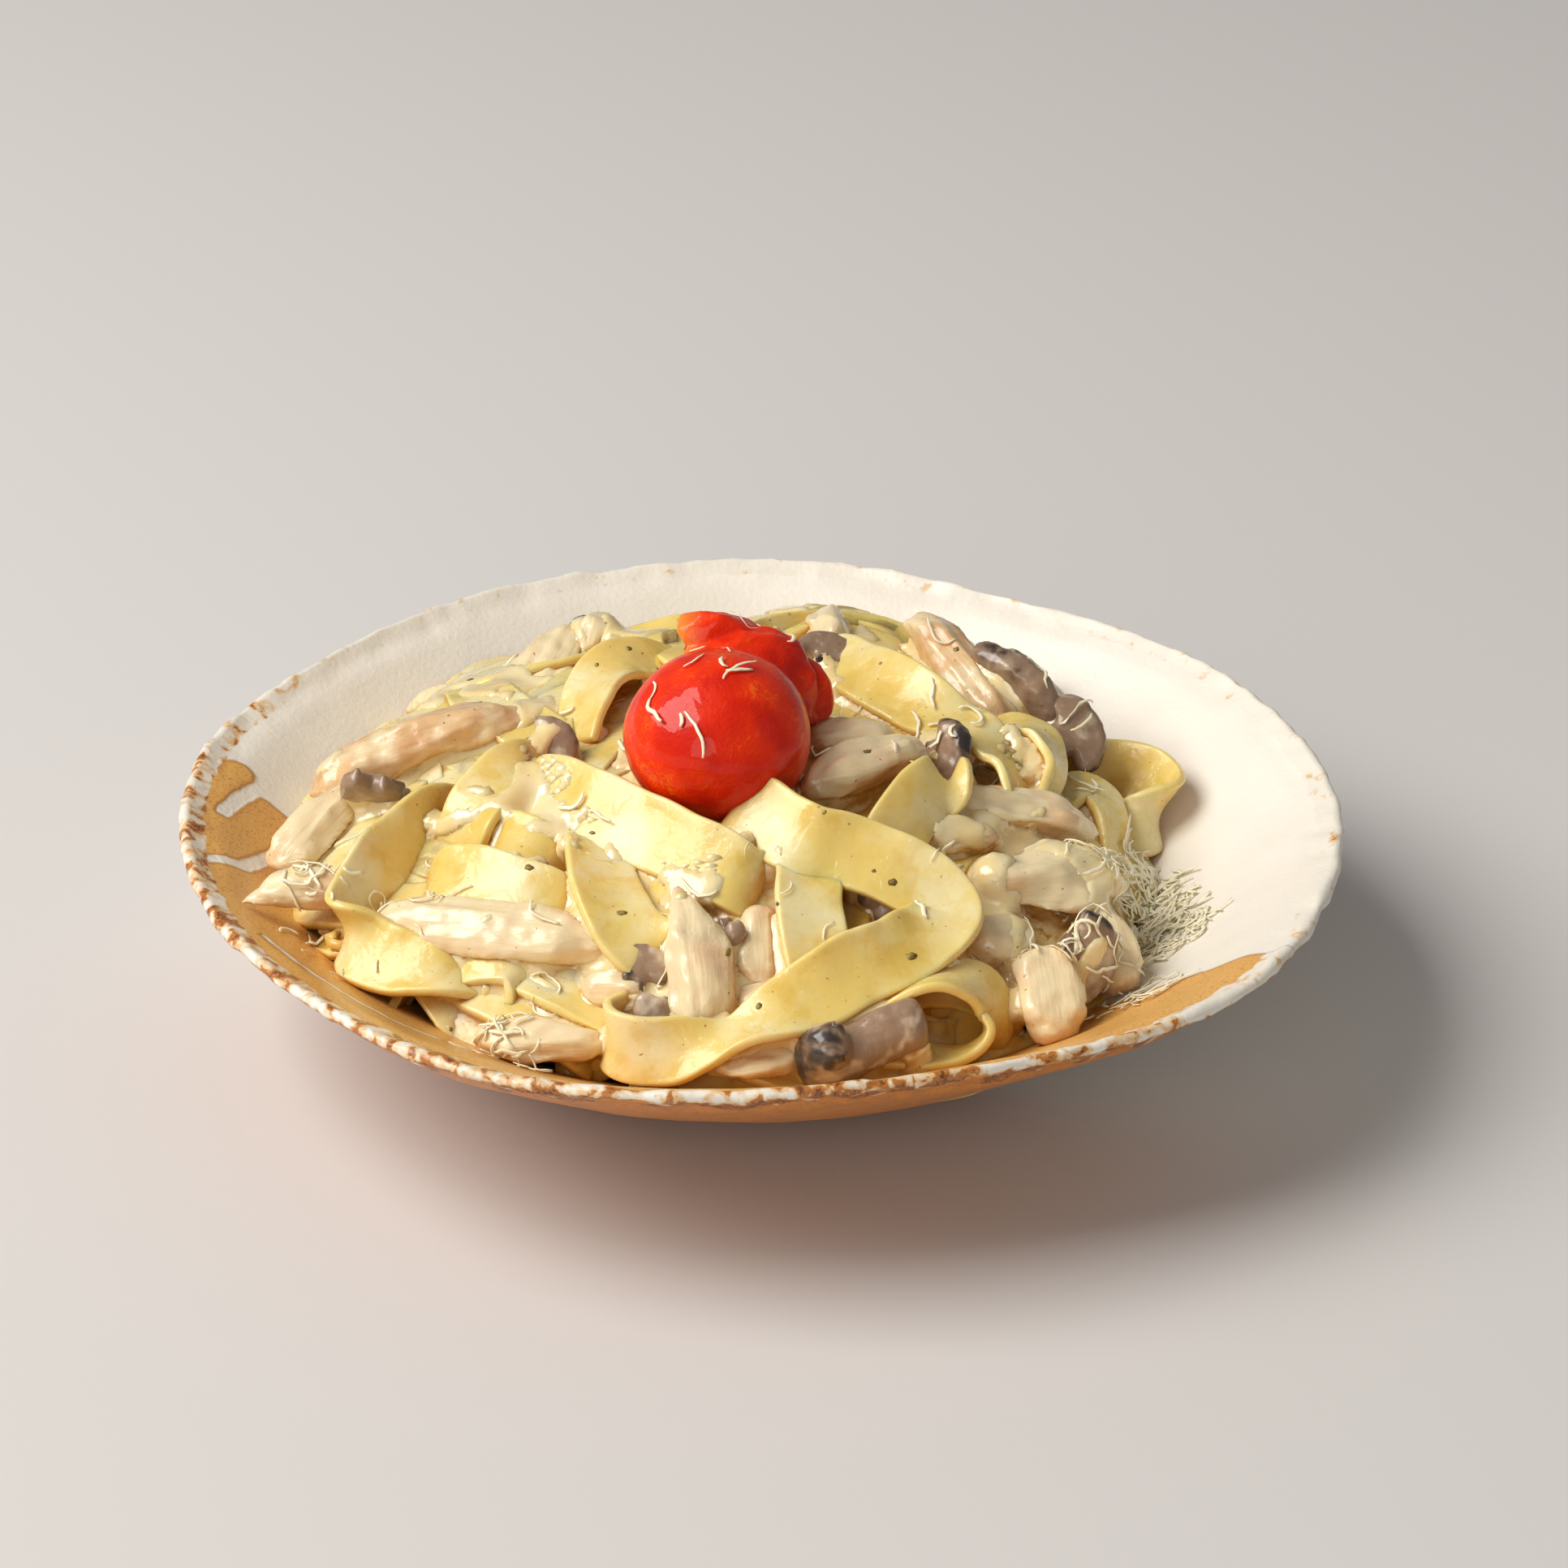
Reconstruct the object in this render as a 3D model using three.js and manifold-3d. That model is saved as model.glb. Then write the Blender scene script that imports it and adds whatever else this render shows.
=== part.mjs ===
// Fettuccine alfredo in a shallow stoneware bowl, with chicken strips, mushroom slices and two
// cherry tomatoes on top. Millimetres, +Z up, origin on the table under the middle of the bowl.
import * as THREE from "three";
import { mergeVertices } from "three/addons/utils/BufferGeometryUtils.js";
import Module from "manifold-3d";

const wasm = await Module();
wasm.setup();

// ---------------------------------------------------------------- driving dimensions

const RIM_RADIUS = 104.6; // mean radius of the lip's outer edge
const RIM_HEIGHT = 38;
const FOOT_OUTER = 44; // radius of the foot ring
const FOOT_INNER = 37;
const FOOT_RECESS = 1.4; // the unglazed middle stands this far off the table
const WALL_START = 2; // height at which the wall leaves the foot ring
const WALL_POWER = 1.28; // how the wall steepens towards the rim
const WALL_AT_FOOT = 5.5; // wall thickness, measured square to the wall
const WALL_AT_RIM = 3.6;
// The rim was cut by hand: [lobes round the rim, mm of radius, phase in degrees]
const RIM_LOBES = [
  [1, 0.8, -90],
  [2, 0.8, -61],
  [3, 1.5, -42],
  [4, 0.8, -38],
  [5, 1.2, 144],
  [9, 0.35, 20],
];
const RIM_DIPS = [
  [3, 0.45, 70],
  [7, 0.35, 200],
];

const HEAP_MIDDLE = [-2, 5];
const HEAP_RADIUS = 80;
const HEAP_LOBES = [
  [1, 4, 185],
  [3, 2, 200],
  [5, 1.5, -34],
];
const HEAP_CREST = 49; // height of the pasta over the table
const HEAP_EDGE = 2.5; // thickness of the pasta at its outline
const HEAP_SHOULDER = 2.8; // a higher power makes the top flatter and the sides steeper
const HEAP_LUMP = 1.1;

const GAP = 0.35; // between touching pieces

const BOWL_SEGMENTS = 60;
const HEAP_SEGMENTS = 40;
const HEAP_RINGS = 6;

// ---------------------------------------------------------------- small helpers

const radians = THREE.MathUtils.degToRad;

/** Sum of cosines round a circle, from [count, amplitude, phase in degrees] terms. */
function waves(terms, angle) {
  const wave = ([count, size, phase]) => size * Math.cos(count * angle - radians(phase));
  return terms.reduce((sum, term) => sum + wave(term), 0);
}

/** Moves every vertex of a geometry to where move(vertex) leaves it. */
function reshape(geometry, move) {
  const place = geometry.getAttribute("position");
  const vertex = new THREE.Vector3();
  for (let i = 0; i < place.count; i++) {
    vertex.fromBufferAttribute(place, i);
    move(vertex);
    place.setXYZ(i, vertex.x, vertex.y, vertex.z);
  }
  return geometry;
}

/** A closed geometry as a manifold-3d solid. */
function solid(geometry) {
  const bare = geometry.clone();
  bare.deleteAttribute("normal");
  bare.deleteAttribute("uv");
  const merged = mergeVertices(bare, 1e-3);
  const made = new wasm.Manifold(
    new wasm.Mesh({
      numProp: 3,
      vertProperties: merged.getAttribute("position").array,
      triVerts: new Uint32Array(merged.index.array),
    }),
  );
  return made;
}

/** The largest body of a manifold-3d solid, as a geometry. */
function geometryOf(made) {
  const largest = made.decompose().sort((a, b) => b.volume() - a.volume())[0];
  const mesh = largest.getMesh();
  const geometry = new THREE.BufferGeometry();
  geometry.setAttribute("position", new THREE.BufferAttribute(new Float32Array(mesh.vertProperties), 3));
  geometry.setIndex(new THREE.BufferAttribute(new Uint32Array(mesh.triVerts), 1));
  return geometry;
}

// ---------------------------------------------------------------- bowl

/** Height of the outside wall over the table at a radius from the middle. */
function outerHeight(radius) {
  const share = Math.max(0, (radius - FOOT_OUTER) / (RIM_RADIUS - FOOT_OUTER));
  return WALL_START + (RIM_HEIGHT - WALL_START) * share ** WALL_POWER;
}

/** Points of the wall's two faces, from the foot to the rim: [outer, inner], a wall's thickness apart. */
function wallFaces(steps, inset = 0) {
  const outer = [];
  const inner = [];
  for (let i = 0; i <= steps; i++) {
    const share = i / steps;
    const radius = THREE.MathUtils.lerp(FOOT_OUTER + 2, RIM_RADIUS, share);
    const slope = (outerHeight(radius + 0.1) - outerHeight(radius - 0.1)) / 0.2;
    const normal = new THREE.Vector2(-slope, 1).normalize();
    const thickness = THREE.MathUtils.lerp(WALL_AT_FOOT, WALL_AT_RIM, share);
    const point = new THREE.Vector2(radius, outerHeight(radius));
    outer.push(point);
    inner.push(point.clone().addScaledVector(normal, thickness + inset));
  }
  return [outer, inner];
}

/** Turns a radius on the true circle into the hand-cut shape; the foot stays round and flat. */
function handCut(vertex) {
  const radius = Math.hypot(vertex.x, vertex.y);
  if (radius <= FOOT_OUTER) return;
  const angle = Math.atan2(vertex.y, vertex.x);
  const share = Math.min(1.1, (radius - FOOT_OUTER) / (RIM_RADIUS - FOOT_OUTER));
  const scale = (radius + waves(RIM_LOBES, angle) * share ** 2) / radius;
  vertex.x *= scale;
  vertex.y *= scale;
  vertex.z += waves(RIM_DIPS, angle) * share ** 3;
}

/** A lathe round +Z from [radius, height] points that run from the axis back to the axis. */
function turned(points, segments) {
  return new THREE.LatheGeometry(points, segments).rotateX(Math.PI / 2);
}

function bowlGeometry() {
  const [outer, inner] = wallFaces(6);
  const floor = inner[0].y;
  const lip = [];
  const [from, to] = [outer.at(-1), inner.at(-1)];
  const middle = from.clone().add(to).multiplyScalar(0.5);
  const half = from.distanceTo(to) / 2;
  const start = Math.atan2(from.y - middle.y, from.x - middle.x);
  for (let i = 1; i < 4; i++) {
    const turn = start + (Math.PI * i) / 4;
    lip.push(new THREE.Vector2(middle.x + half * Math.cos(turn), middle.y + half * Math.sin(turn)));
  }
  const profile = [
    new THREE.Vector2(0, FOOT_RECESS),
    new THREE.Vector2(FOOT_INNER - 1, FOOT_RECESS),
    new THREE.Vector2(FOOT_INNER, 0),
    new THREE.Vector2(FOOT_OUTER - 0.8, 0),
    new THREE.Vector2(FOOT_OUTER, 0.8),
    ...outer,
    ...lip,
    ...inner.slice().reverse(),
    new THREE.Vector2(30, floor - 0.4),
    new THREE.Vector2(0, floor - 0.6),
  ];
  return reshape(turned(profile, BOWL_SEGMENTS), handCut);
}

/** The space over the bowl's inside, a gap clear of it, that everything in the bowl stays within. */
function hollowSolid() {
  const [, inner] = wallFaces(6, GAP);
  const top = 130;
  const floor = inner[0].y;
  const profile = [
    new THREE.Vector2(0, floor),
    ...inner,
    new THREE.Vector2(inner.at(-1).x, top),
    new THREE.Vector2(0, top),
  ];
  return solid(reshape(turned(profile, HEAP_SEGMENTS), handCut));
}

// ---------------------------------------------------------------- pasta heap

/** Height of the pasta over the table, at a share of the way from the heap's middle to its outline. */
function heapHeight(share, angle, edgeHeight) {
  const dome = edgeHeight + (HEAP_CREST - edgeHeight) * (1 - share ** HEAP_SHOULDER);
  const lumps = Math.cos(4 * angle + 7 * share) * Math.sin(9 * share) * (1 - share ** 4);
  return dome + HEAP_LUMP * lumps;
}

/** Height of the bowl's inside at a radius from its middle. */
function innerHeight(radius) {
  const [, inner] = wallFaces(40);
  const next = inner.findIndex((point) => point.x > radius);
  if (next <= 0) return next === 0 ? inner[0].y : inner.at(-1).y;
  const [low, high] = [inner[next - 1], inner[next]];
  return THREE.MathUtils.mapLinear(radius, low.x, high.x, low.y, high.y);
}

/** The heap before its pieces are let in: a dome on a flat bottom, wider than the bowl's floor. */
function domeGeometry() {
  const points = [];
  const [middleX, middleY] = HEAP_MIDDLE;
  for (let ring = 0; ring <= HEAP_RINGS; ring++) {
    const share = Math.sin((ring / HEAP_RINGS) * (Math.PI / 2));
    for (let i = 0; i < HEAP_SEGMENTS; i++) {
      const angle = (2 * Math.PI * i) / HEAP_SEGMENTS;
      const reach = HEAP_RADIUS + waves(HEAP_LOBES, angle);
      const edge = [middleX + reach * Math.cos(angle), middleY + reach * Math.sin(angle)];
      const edgeHeight = innerHeight(Math.hypot(...edge)) + HEAP_EDGE;
      const x = THREE.MathUtils.lerp(middleX, edge[0], share);
      const y = THREE.MathUtils.lerp(middleY, edge[1], share);
      points.push(x, y, heapHeight(share, angle, edgeHeight));
    }
  }
  // The first ring has closed up to the crest; the last one is repeated on the flat bottom.
  const last = points.slice(-3 * HEAP_SEGMENTS);
  for (let i = 0; i < HEAP_SEGMENTS; i++) points.push(last[3 * i], last[3 * i + 1], 0);
  const bottom = points.length / 3;
  points.push(middleX, middleY, 0);
  const faces = [];
  for (let ring = 0; ring <= HEAP_RINGS; ring++) {
    for (let i = 0; i < HEAP_SEGMENTS; i++) {
      const a = ring * HEAP_SEGMENTS + i;
      const b = ring * HEAP_SEGMENTS + ((i + 1) % HEAP_SEGMENTS);
      if (ring > 0) faces.push(a, b + HEAP_SEGMENTS, b);
      faces.push(a, a + HEAP_SEGMENTS, b + HEAP_SEGMENTS);
      if (ring === HEAP_RINGS) faces.push(a + HEAP_SEGMENTS, bottom, b + HEAP_SEGMENTS);
    }
  }
  const geometry = new THREE.BufferGeometry();
  geometry.setAttribute("position", new THREE.Float32BufferAttribute(points, 3));
  geometry.setIndex(faces);
  return geometry;
}

// ---------------------------------------------------------------- chicken, mushroom, tomato

/**
 * A torn strip of cooked breast, its grain along X. bow lifts its middle, taper narrows its +X end,
 * and grow adds to every half size.
 */
function chickenGeometry({ size, taper = 0.35, bow = 0.06, skew = 0.1 }, grow = 0) {
  const [length, width, thickness] = size;
  const geometry = new THREE.SphereGeometry(1, 7, 6).rotateZ(-Math.PI / 2);
  return reshape(geometry, (v) => {
    const along = v.x;
    const round = Math.sqrt(Math.max(1e-6, 1 - along ** 2));
    const blunt = (1 - Math.abs(along) ** 2.8) ** 0.55 / round;
    const around = Math.atan2(v.z, v.y);
    const torn = 1 + 0.09 * Math.sin(3 * around + 4 * along) + 0.05 * Math.cos(5 * along - around);
    const narrow = (1 - taper * (0.5 + along / 2) ** 1.5) * blunt * torn;
    v.x = along * (length / 2 + grow);
    v.y = v.y * (width / 2 + grow) * narrow + skew * width * along ** 2;
    v.z = v.z * (thickness / 2 + grow) * narrow + bow * length * (1 - along ** 2);
  });
}

/** A slice down through a button mushroom: the cap's arc on +X, its stalk towards -X. */
function mushroomGeometry({ cap, stalk = 0.9, thickness = 3.6, curl = 0.12 }, grow = 0) {
  const radius = cap / 2 + grow;
  const stem = cap * 0.17 + grow;
  const reach = cap * 0.5 * stalk + grow;
  const gill = -cap * 0.05 - grow; // where the stalk meets the gills
  const hem = -cap * 0.11 - grow; // where the cap's edge turns under
  const shape = new THREE.Shape();
  shape.moveTo(-reach, -stem * 1.15);
  shape.lineTo(gill, -stem);
  shape.quadraticCurveTo(gill, -radius * 0.8, hem, -radius * 0.98);
  shape.absellipse(0, 0, radius * 0.85, radius, -Math.PI / 2 - 0.2, Math.PI / 2 + 0.2, false, 0);
  shape.quadraticCurveTo(gill, radius * 0.8, gill, stem);
  shape.lineTo(-reach, stem * 1.15);
  shape.closePath();
  const depth = thickness + 2 * grow;
  const geometry = new THREE.ExtrudeGeometry(shape, { depth, bevelEnabled: false, curveSegments: 3 });
  geometry.translate(0, 0, -depth / 2);
  return reshape(geometry, (v) => {
    v.z += (curl * (v.x ** 2 + v.y ** 2)) / cap;
  });
}

/** A cherry tomato, its blossom end drawn down to a blunt point. */
function tomatoGeometry({ radius }, grow = 0) {
  const geometry = new THREE.SphereGeometry(radius + grow, 14, 10).rotateX(Math.PI / 2);
  return reshape(geometry, (v) => {
    const down = Math.max(0, -v.z / radius);
    const angle = Math.atan2(v.y, v.x);
    const dent = 1 - 0.02 * Math.cos(3 * angle) - 0.13 * down ** 2;
    v.x *= dent;
    v.y *= dent;
    v.z *= 0.86 + 0.08 * down;
  });
}

/** A burst tomato, slumped along X into long folds, its -X end torn off at a slant. */
function burstTomatoGeometry({ size, tear }, grow = 0) {
  const body = reshape(new THREE.SphereGeometry(1, 14, 10).rotateZ(-Math.PI / 2), (v) => {
    const around = Math.atan2(v.z, v.y);
    const fold = 1 + 0.09 * Math.cos(4 * around + 1.5 * v.x) - 0.05 * Math.cos(7 * around - 4 * v.x);
    v.x *= size[0] / 2 + grow;
    v.y *= (size[1] / 2 + grow) * fold;
    v.z *= (size[2] / 2 + grow) * fold;
  });
  const torn = new THREE.BoxGeometry(20, 60, 60).translate(-10 - grow, 0, 0);
  torn.rotateY(radians(tear.turn)).translate(...tear.at);
  return geometryOf(solid(body).subtract(solid(torn)));
}

/**
 * Where a piece lies. at is its middle; heading turns its X from +X about +Z, pitch lifts its X over
 * the horizontal, and roll turns it about its own X.
 */
function placed(geometry, { at, heading = 0, pitch = 0, roll = 0 }) {
  const turn = new THREE.Euler(radians(roll), radians(-pitch), radians(heading), "ZYX");
  const matrix = new THREE.Matrix4().makeRotationFromEuler(turn).setPosition(...at);
  return geometry.applyMatrix4(matrix);
}

// Strips of breast, from the left end of the bowl round to the back: [length, width, thickness].
const CHICKEN = [
  { at: [-61, 14, 42], heading: 15, pitch: 14, roll: -12, size: [46, 17, 11], taper: 0.5, bow: 0.08 },
  { at: [-40, 47, 43], heading: 70, pitch: 8, roll: -8, size: [30, 15, 11] },
  { at: [-33, 54, 46], heading: 35, pitch: 30, size: [14, 11, 9], taper: 0.15 },
  { at: [-82, -31, 38], heading: -174, pitch: -4, roll: -12, size: [19, 10, 7], taper: 0.7 },
  { at: [-80, -6, 37], heading: 52, pitch: 20, roll: 14, size: [24, 12, 6] },
  { at: [-45, -45, 37], heading: -17, pitch: 2, roll: 38, size: [47, 13, 9], taper: 0.25, bow: 0.04 },
  { at: [-10.5, -56, 38], heading: 99, pitch: 40, roll: 8, size: [30, 17, 9], taper: 0.75, bow: 0.1 },
  { at: [0, -51, 37], heading: -88, pitch: -28, size: [18, 11, 9], taper: 0.1 },
  { at: [20, -9, 50.5], heading: 38, pitch: -2, roll: 8, size: [29, 11, 9], taper: 0.2 },
  { at: [38, 37, 45], heading: -60, pitch: -18, roll: -20, size: [42, 14, 10], taper: 0.3 },
  { at: [36, -20, 42], heading: 25, pitch: -8, roll: 30, size: [17, 7, 6], taper: 0.3 },
  { at: [48, -9, 41], heading: 12, pitch: -20, roll: 25, size: [31, 10, 8], taper: 0.3 },
  { at: [54, -25, 36], heading: 30, pitch: -12, roll: 32, size: [35, 17, 8], taper: 0.4, skew: 0.16 },
  { at: [50, -54, 30], heading: -84, pitch: -28, roll: 10, size: [19, 14, 9], taper: 0.2 },
  { at: [62, -36, 28], heading: -72, pitch: -26, roll: 20, size: [16, 12, 8], taper: 0.1 },
  { at: [-36, -65.5, 27], heading: -6, pitch: 2, roll: 34, size: [25, 9, 6.5] },
  { at: [0.5, -71.5, 28.5], heading: 4, pitch: 4, roll: 36, size: [20, 12, 8], taper: 0.3 },
  { at: [-24, -57, 33], heading: -10, pitch: 4, roll: 34, size: [13, 8, 6], taper: 0.1 },
  { at: [17, 5, 50], heading: 9, pitch: -4, size: [17, 9, 6], taper: 0.2 },
  { at: [13, 52, 50], heading: 95, pitch: -6, roll: 0, size: [18, 9, 7] },
  { at: [2, -60, 33], heading: 8, pitch: 5, roll: 32, size: [13, 9, 6], taper: 0.1 },
  { at: [43, -42, 34], heading: 26, pitch: -15, roll: 34, size: [15, 10, 7], taper: 0.1 },
  { at: [-58, 44, 37], heading: 128, pitch: -22, roll: 10, size: [30, 12, 8] },
  { at: [30, 64, 38], heading: 20, pitch: -6, roll: -40, size: [30, 12, 8] },
  { at: [-14, 70, 36], heading: 172, pitch: -4, roll: 38, size: [26, 11, 8] },
];

// Mushroom slices: cap is the width across it.
const MUSHROOM = [
  { at: [-69, -2, 43], heading: 150, pitch: -22, roll: 40, cap: 15, stalk: 0.5, thickness: 3.4 },
  { at: [-38, 4, 49], heading: 20, pitch: 5, roll: 35, cap: 12, stalk: 0.7, thickness: 3 },
  { at: [-20, -56, 36.5], heading: 60, pitch: 30, roll: 15, cap: 11, stalk: 0.8, thickness: 3 },
  { at: [-16, -65, 32.5], heading: -20, pitch: -10, roll: 55, cap: 13, stalk: 0.7, thickness: 3.2 },
  { at: [-5, -49, 38.5], heading: -80, pitch: -38, roll: 80, cap: 13, stalk: 0.5, thickness: 3 },
  { at: [13.5, -73, 29.5], heading: -167, pitch: -10, roll: 50, cap: 14, stalk: 2.2, thickness: 6 },
  { at: [55, -44, 32], heading: 10, pitch: -30, roll: 70, cap: 18, stalk: 0.3, thickness: 3.4 },
  { at: [47, 36, 43], heading: -86, pitch: 65, roll: -45, cap: 25, stalk: 0.3, thickness: 4.4 },
  { at: [34, 2, 48], heading: -40, pitch: 20, roll: 62, cap: 14, stalk: 0.6, thickness: 3.2 },
  { at: [58, 26, 40], heading: 30, pitch: 10, roll: 48, cap: 16, stalk: 0.7, thickness: 3.6 },
  { at: [13, 38, 51], heading: 90, pitch: 12, roll: 10, cap: 12, stalk: 0.6, thickness: 3 },
  { at: [21, -40, 43], heading: 30, pitch: -10, roll: 60, cap: 10, stalk: 0.6, thickness: 2.8 },
  { at: [-30, 68, 38], heading: 140, pitch: -10, roll: 50, cap: 18, stalk: 0.9, thickness: 3.6 },
  { at: [52, 56, 36], heading: 60, pitch: -20, roll: 30, cap: 16, stalk: 0.8, thickness: 3.4 },
];

const TOMATO_WHOLE = { at: [-7, -13, 60], heading: 20, pitch: 6, roll: 8, radius: 17 };
const TOMATO_BURST = {
  at: [-1.5, 8.5, 62],
  heading: -13,
  pitch: -29,
  size: [34, 22, 19],
  tear: { at: [-15.5, 0, 2], turn: -52 },
};

// ---------------------------------------------------------------- assembly

const FINISH = {
  bowl: { color: 0xeadfce, roughness: 0.55 },
  pasta: { color: 0xecd88c, roughness: 0.45 },
  chicken: { color: 0xe6c9a4, roughness: 0.5 },
  mushroom: { color: 0x8a7564, roughness: 0.5 },
  tomato: { color: 0xc8200a, roughness: 0.25 },
};

const dish = new THREE.Group();

function addPiece(name, geometry, finish) {
  const mesh = new THREE.Mesh(geometry, new THREE.MeshStandardMaterial({ ...FINISH[finish], metalness: 0 }));
  mesh.name = name;
  dish.add(mesh);
}

/** Two digits, so that the nodes sort in order. */
function numbered(name, index) {
  return `${name}_${String(index + 1).padStart(2, "0")}`;
}

const toppings = [
  {
    name: "tomato_whole",
    finish: "tomato",
    make: (grow) => placed(tomatoGeometry(TOMATO_WHOLE, grow), TOMATO_WHOLE),
  },
  ...CHICKEN.map((piece, index) => ({
    name: numbered("chicken_strip", index),
    finish: "chicken",
    make: (grow) => placed(chickenGeometry(piece, grow), piece),
  })),
  ...MUSHROOM.map((piece, index) => ({
    name: numbered("mushroom_slice", index),
    finish: "mushroom",
    make: (grow) => placed(mushroomGeometry(piece, grow), piece),
  })),
  {
    name: "tomato_burst",
    finish: "tomato",
    make: (grow) => placed(burstTomatoGeometry(TOMATO_BURST, grow), TOMATO_BURST),
  },
];

const hollow = hollowSolid();
let pasta = solid(domeGeometry()).intersect(hollow);
let taken = null; // everything placed so far, grown by the gap

for (const { name, finish, make } of toppings) {
  let piece = solid(make(0)).intersect(hollow);
  if (taken) piece = piece.subtract(taken);
  addPiece(name, geometryOf(piece), finish);
  const grown = solid(make(GAP));
  pasta = pasta.subtract(grown);
  taken = taken ? taken.add(grown) : grown;
}

addPiece("fettuccine_heap", geometryOf(pasta), "pasta");
addPiece("bowl", bowlGeometry(), "bowl");

export default dish;
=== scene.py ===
"""Fettuccine alfredo in a hand-cut stoneware bowl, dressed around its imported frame.

Sizes here are in millimetres, in the frame's own axes: +Z up out of the bowl, -Y towards the diner.
Every mesh is written in metres, at its place, on an object that stays at the origin.
"""

import logging
import math
import random
from collections.abc import Callable, Iterable, Sequence
from dataclasses import dataclass, field
from enum import Enum
from functools import cached_property

import bmesh
import bpy
import numpy as np
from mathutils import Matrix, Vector, noise
from mathutils.bvhtree import BVHTree


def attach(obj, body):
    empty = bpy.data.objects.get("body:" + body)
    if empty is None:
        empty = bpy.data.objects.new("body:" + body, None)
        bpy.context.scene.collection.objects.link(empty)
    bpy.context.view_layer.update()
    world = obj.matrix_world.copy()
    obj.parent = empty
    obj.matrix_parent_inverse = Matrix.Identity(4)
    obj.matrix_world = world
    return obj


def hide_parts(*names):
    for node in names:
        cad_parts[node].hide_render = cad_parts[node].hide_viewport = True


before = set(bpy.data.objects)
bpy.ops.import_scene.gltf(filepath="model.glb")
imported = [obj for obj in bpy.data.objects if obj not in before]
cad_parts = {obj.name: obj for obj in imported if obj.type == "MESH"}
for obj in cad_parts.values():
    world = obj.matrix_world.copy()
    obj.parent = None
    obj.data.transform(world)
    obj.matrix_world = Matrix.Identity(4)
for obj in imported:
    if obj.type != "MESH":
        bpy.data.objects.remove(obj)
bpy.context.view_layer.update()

MM = 0.001
BODY = "root"
log = logging.getLogger("fettuccine")

GOLDEN_ANGLE = 2.39996

Colour = tuple[float, float, float]
Place = tuple[float, float, float]
Pair = tuple[float, float]
Waves = tuple[tuple[int, float, float], ...]
Stroke = tuple[float, tuple[Pair, ...]]
Discs = tuple[tuple[float, float, float, int], ...]
Pools = tuple[tuple[float, float, float, float], ...]
Stop = tuple[float, ...]
Found = tuple[Vector, Vector]
Socket = bpy.types.NodeSocket


# ------------------------------------------------------------------------------ numbers


def unit(rows: np.ndarray) -> np.ndarray:
    """Each row of an array of vectors, at length one."""
    return rows / np.maximum(np.linalg.norm(rows, axis=-1, keepdims=True), 1e-9)


def smoothstep(low: float, high: float, value: np.ndarray | float) -> np.ndarray | float:
    """0 under low, 1 over high and an even curve between them."""
    share = np.clip((value - low) / (high - low), 0.0, 1.0)
    return share * share * (3 - 2 * share)


def spline(stops: np.ndarray, step: float) -> np.ndarray:
    """A smooth line through rows of numbers whose first three are a place.

    Args:
        stops: One row for each point that the line goes through.
        step: About how far apart the returned rows are, in millimetres.

    Returns:
        Rows along a Catmull-Rom curve, ends included.
    """
    padded = np.vstack([2 * stops[0] - stops[1], stops, 2 * stops[-1] - stops[-2]])
    rows = []
    for before, start, end, after in zip(padded, padded[1:], padded[2:], padded[3:]):
        count = max(2, round(float(np.linalg.norm(end[:3] - start[:3])) / step))
        for t in np.arange(count) / count:
            rows.append(
                0.5
                * (
                    2 * start
                    + (end - before) * t
                    + (2 * before - 5 * start + 4 * end - after) * t**2
                    + (3 * start - before - 3 * end + after) * t**3
                )
            )
    return np.array([*rows, stops[-1]])


def wobble(point: Sequence[float], scale: float, seed: float = 0.0) -> float:
    """Smooth noise from -1 to 1, whose bumps are about scale millimetres wide."""
    x, y, z = point
    return noise.noise(Vector((x / scale + seed, y / scale - seed, z / scale + 2 * seed)))


# ------------------------------------------------------------------------------- meshes


def new_piece(name: str, mesh: bpy.types.Mesh, material: bpy.types.Material) -> bpy.types.Object:
    """Links a finished mesh to the scene as a smooth-shaded piece with one material.

    Args:
        name: The piece's name.
        mesh: Its mesh, at its place, in metres.
        material: Its only material.

    Returns:
        The piece.
    """
    mesh.name = name
    mesh.materials.clear()
    mesh.materials.append(material)
    mesh.shade_smooth()
    piece = bpy.data.objects.new(name, mesh)
    bpy.context.scene.collection.objects.link(piece)
    return piece


def mesh_from(bm: bmesh.types.BMesh) -> bpy.types.Mesh:
    """Writes a bmesh, which is freed, to a new mesh.

    Args:
        bm: The bmesh.

    Returns:
        The mesh.
    """
    mesh = bpy.data.meshes.new("work")
    bm.to_mesh(mesh)
    bm.free()
    return mesh


def places(mesh: bpy.types.Mesh) -> np.ndarray:
    """The vertices of a mesh, in millimetres.

    Args:
        mesh: A mesh.

    Returns:
        One row of x, y and z for each vertex.
    """
    flat = np.empty(len(mesh.vertices) * 3, np.float32)
    mesh.vertices.foreach_get("co", flat)
    return flat.reshape(-1, 3).astype(float) / MM


def move_to(mesh: bpy.types.Mesh, points: np.ndarray) -> bpy.types.Mesh:
    """Puts the vertices of a mesh at rows of millimetres, and returns the mesh.

    Args:
        mesh: The mesh that is changed.
        points: One row for each vertex.

    Returns:
        The same mesh.
    """
    mesh.vertices.foreach_set("co", (points * MM).astype(np.float32).ravel())
    mesh.update()
    return mesh


def normals(mesh: bpy.types.Mesh) -> np.ndarray:
    """The vertex normals of a mesh.

    Args:
        mesh: A mesh.

    Returns:
        One row for each vertex, at length one.
    """
    flat = np.empty(len(mesh.vertices) * 3, np.float32)
    mesh.vertex_normals.foreach_get("vector", flat)
    return flat.reshape(-1, 3).astype(float)


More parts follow.
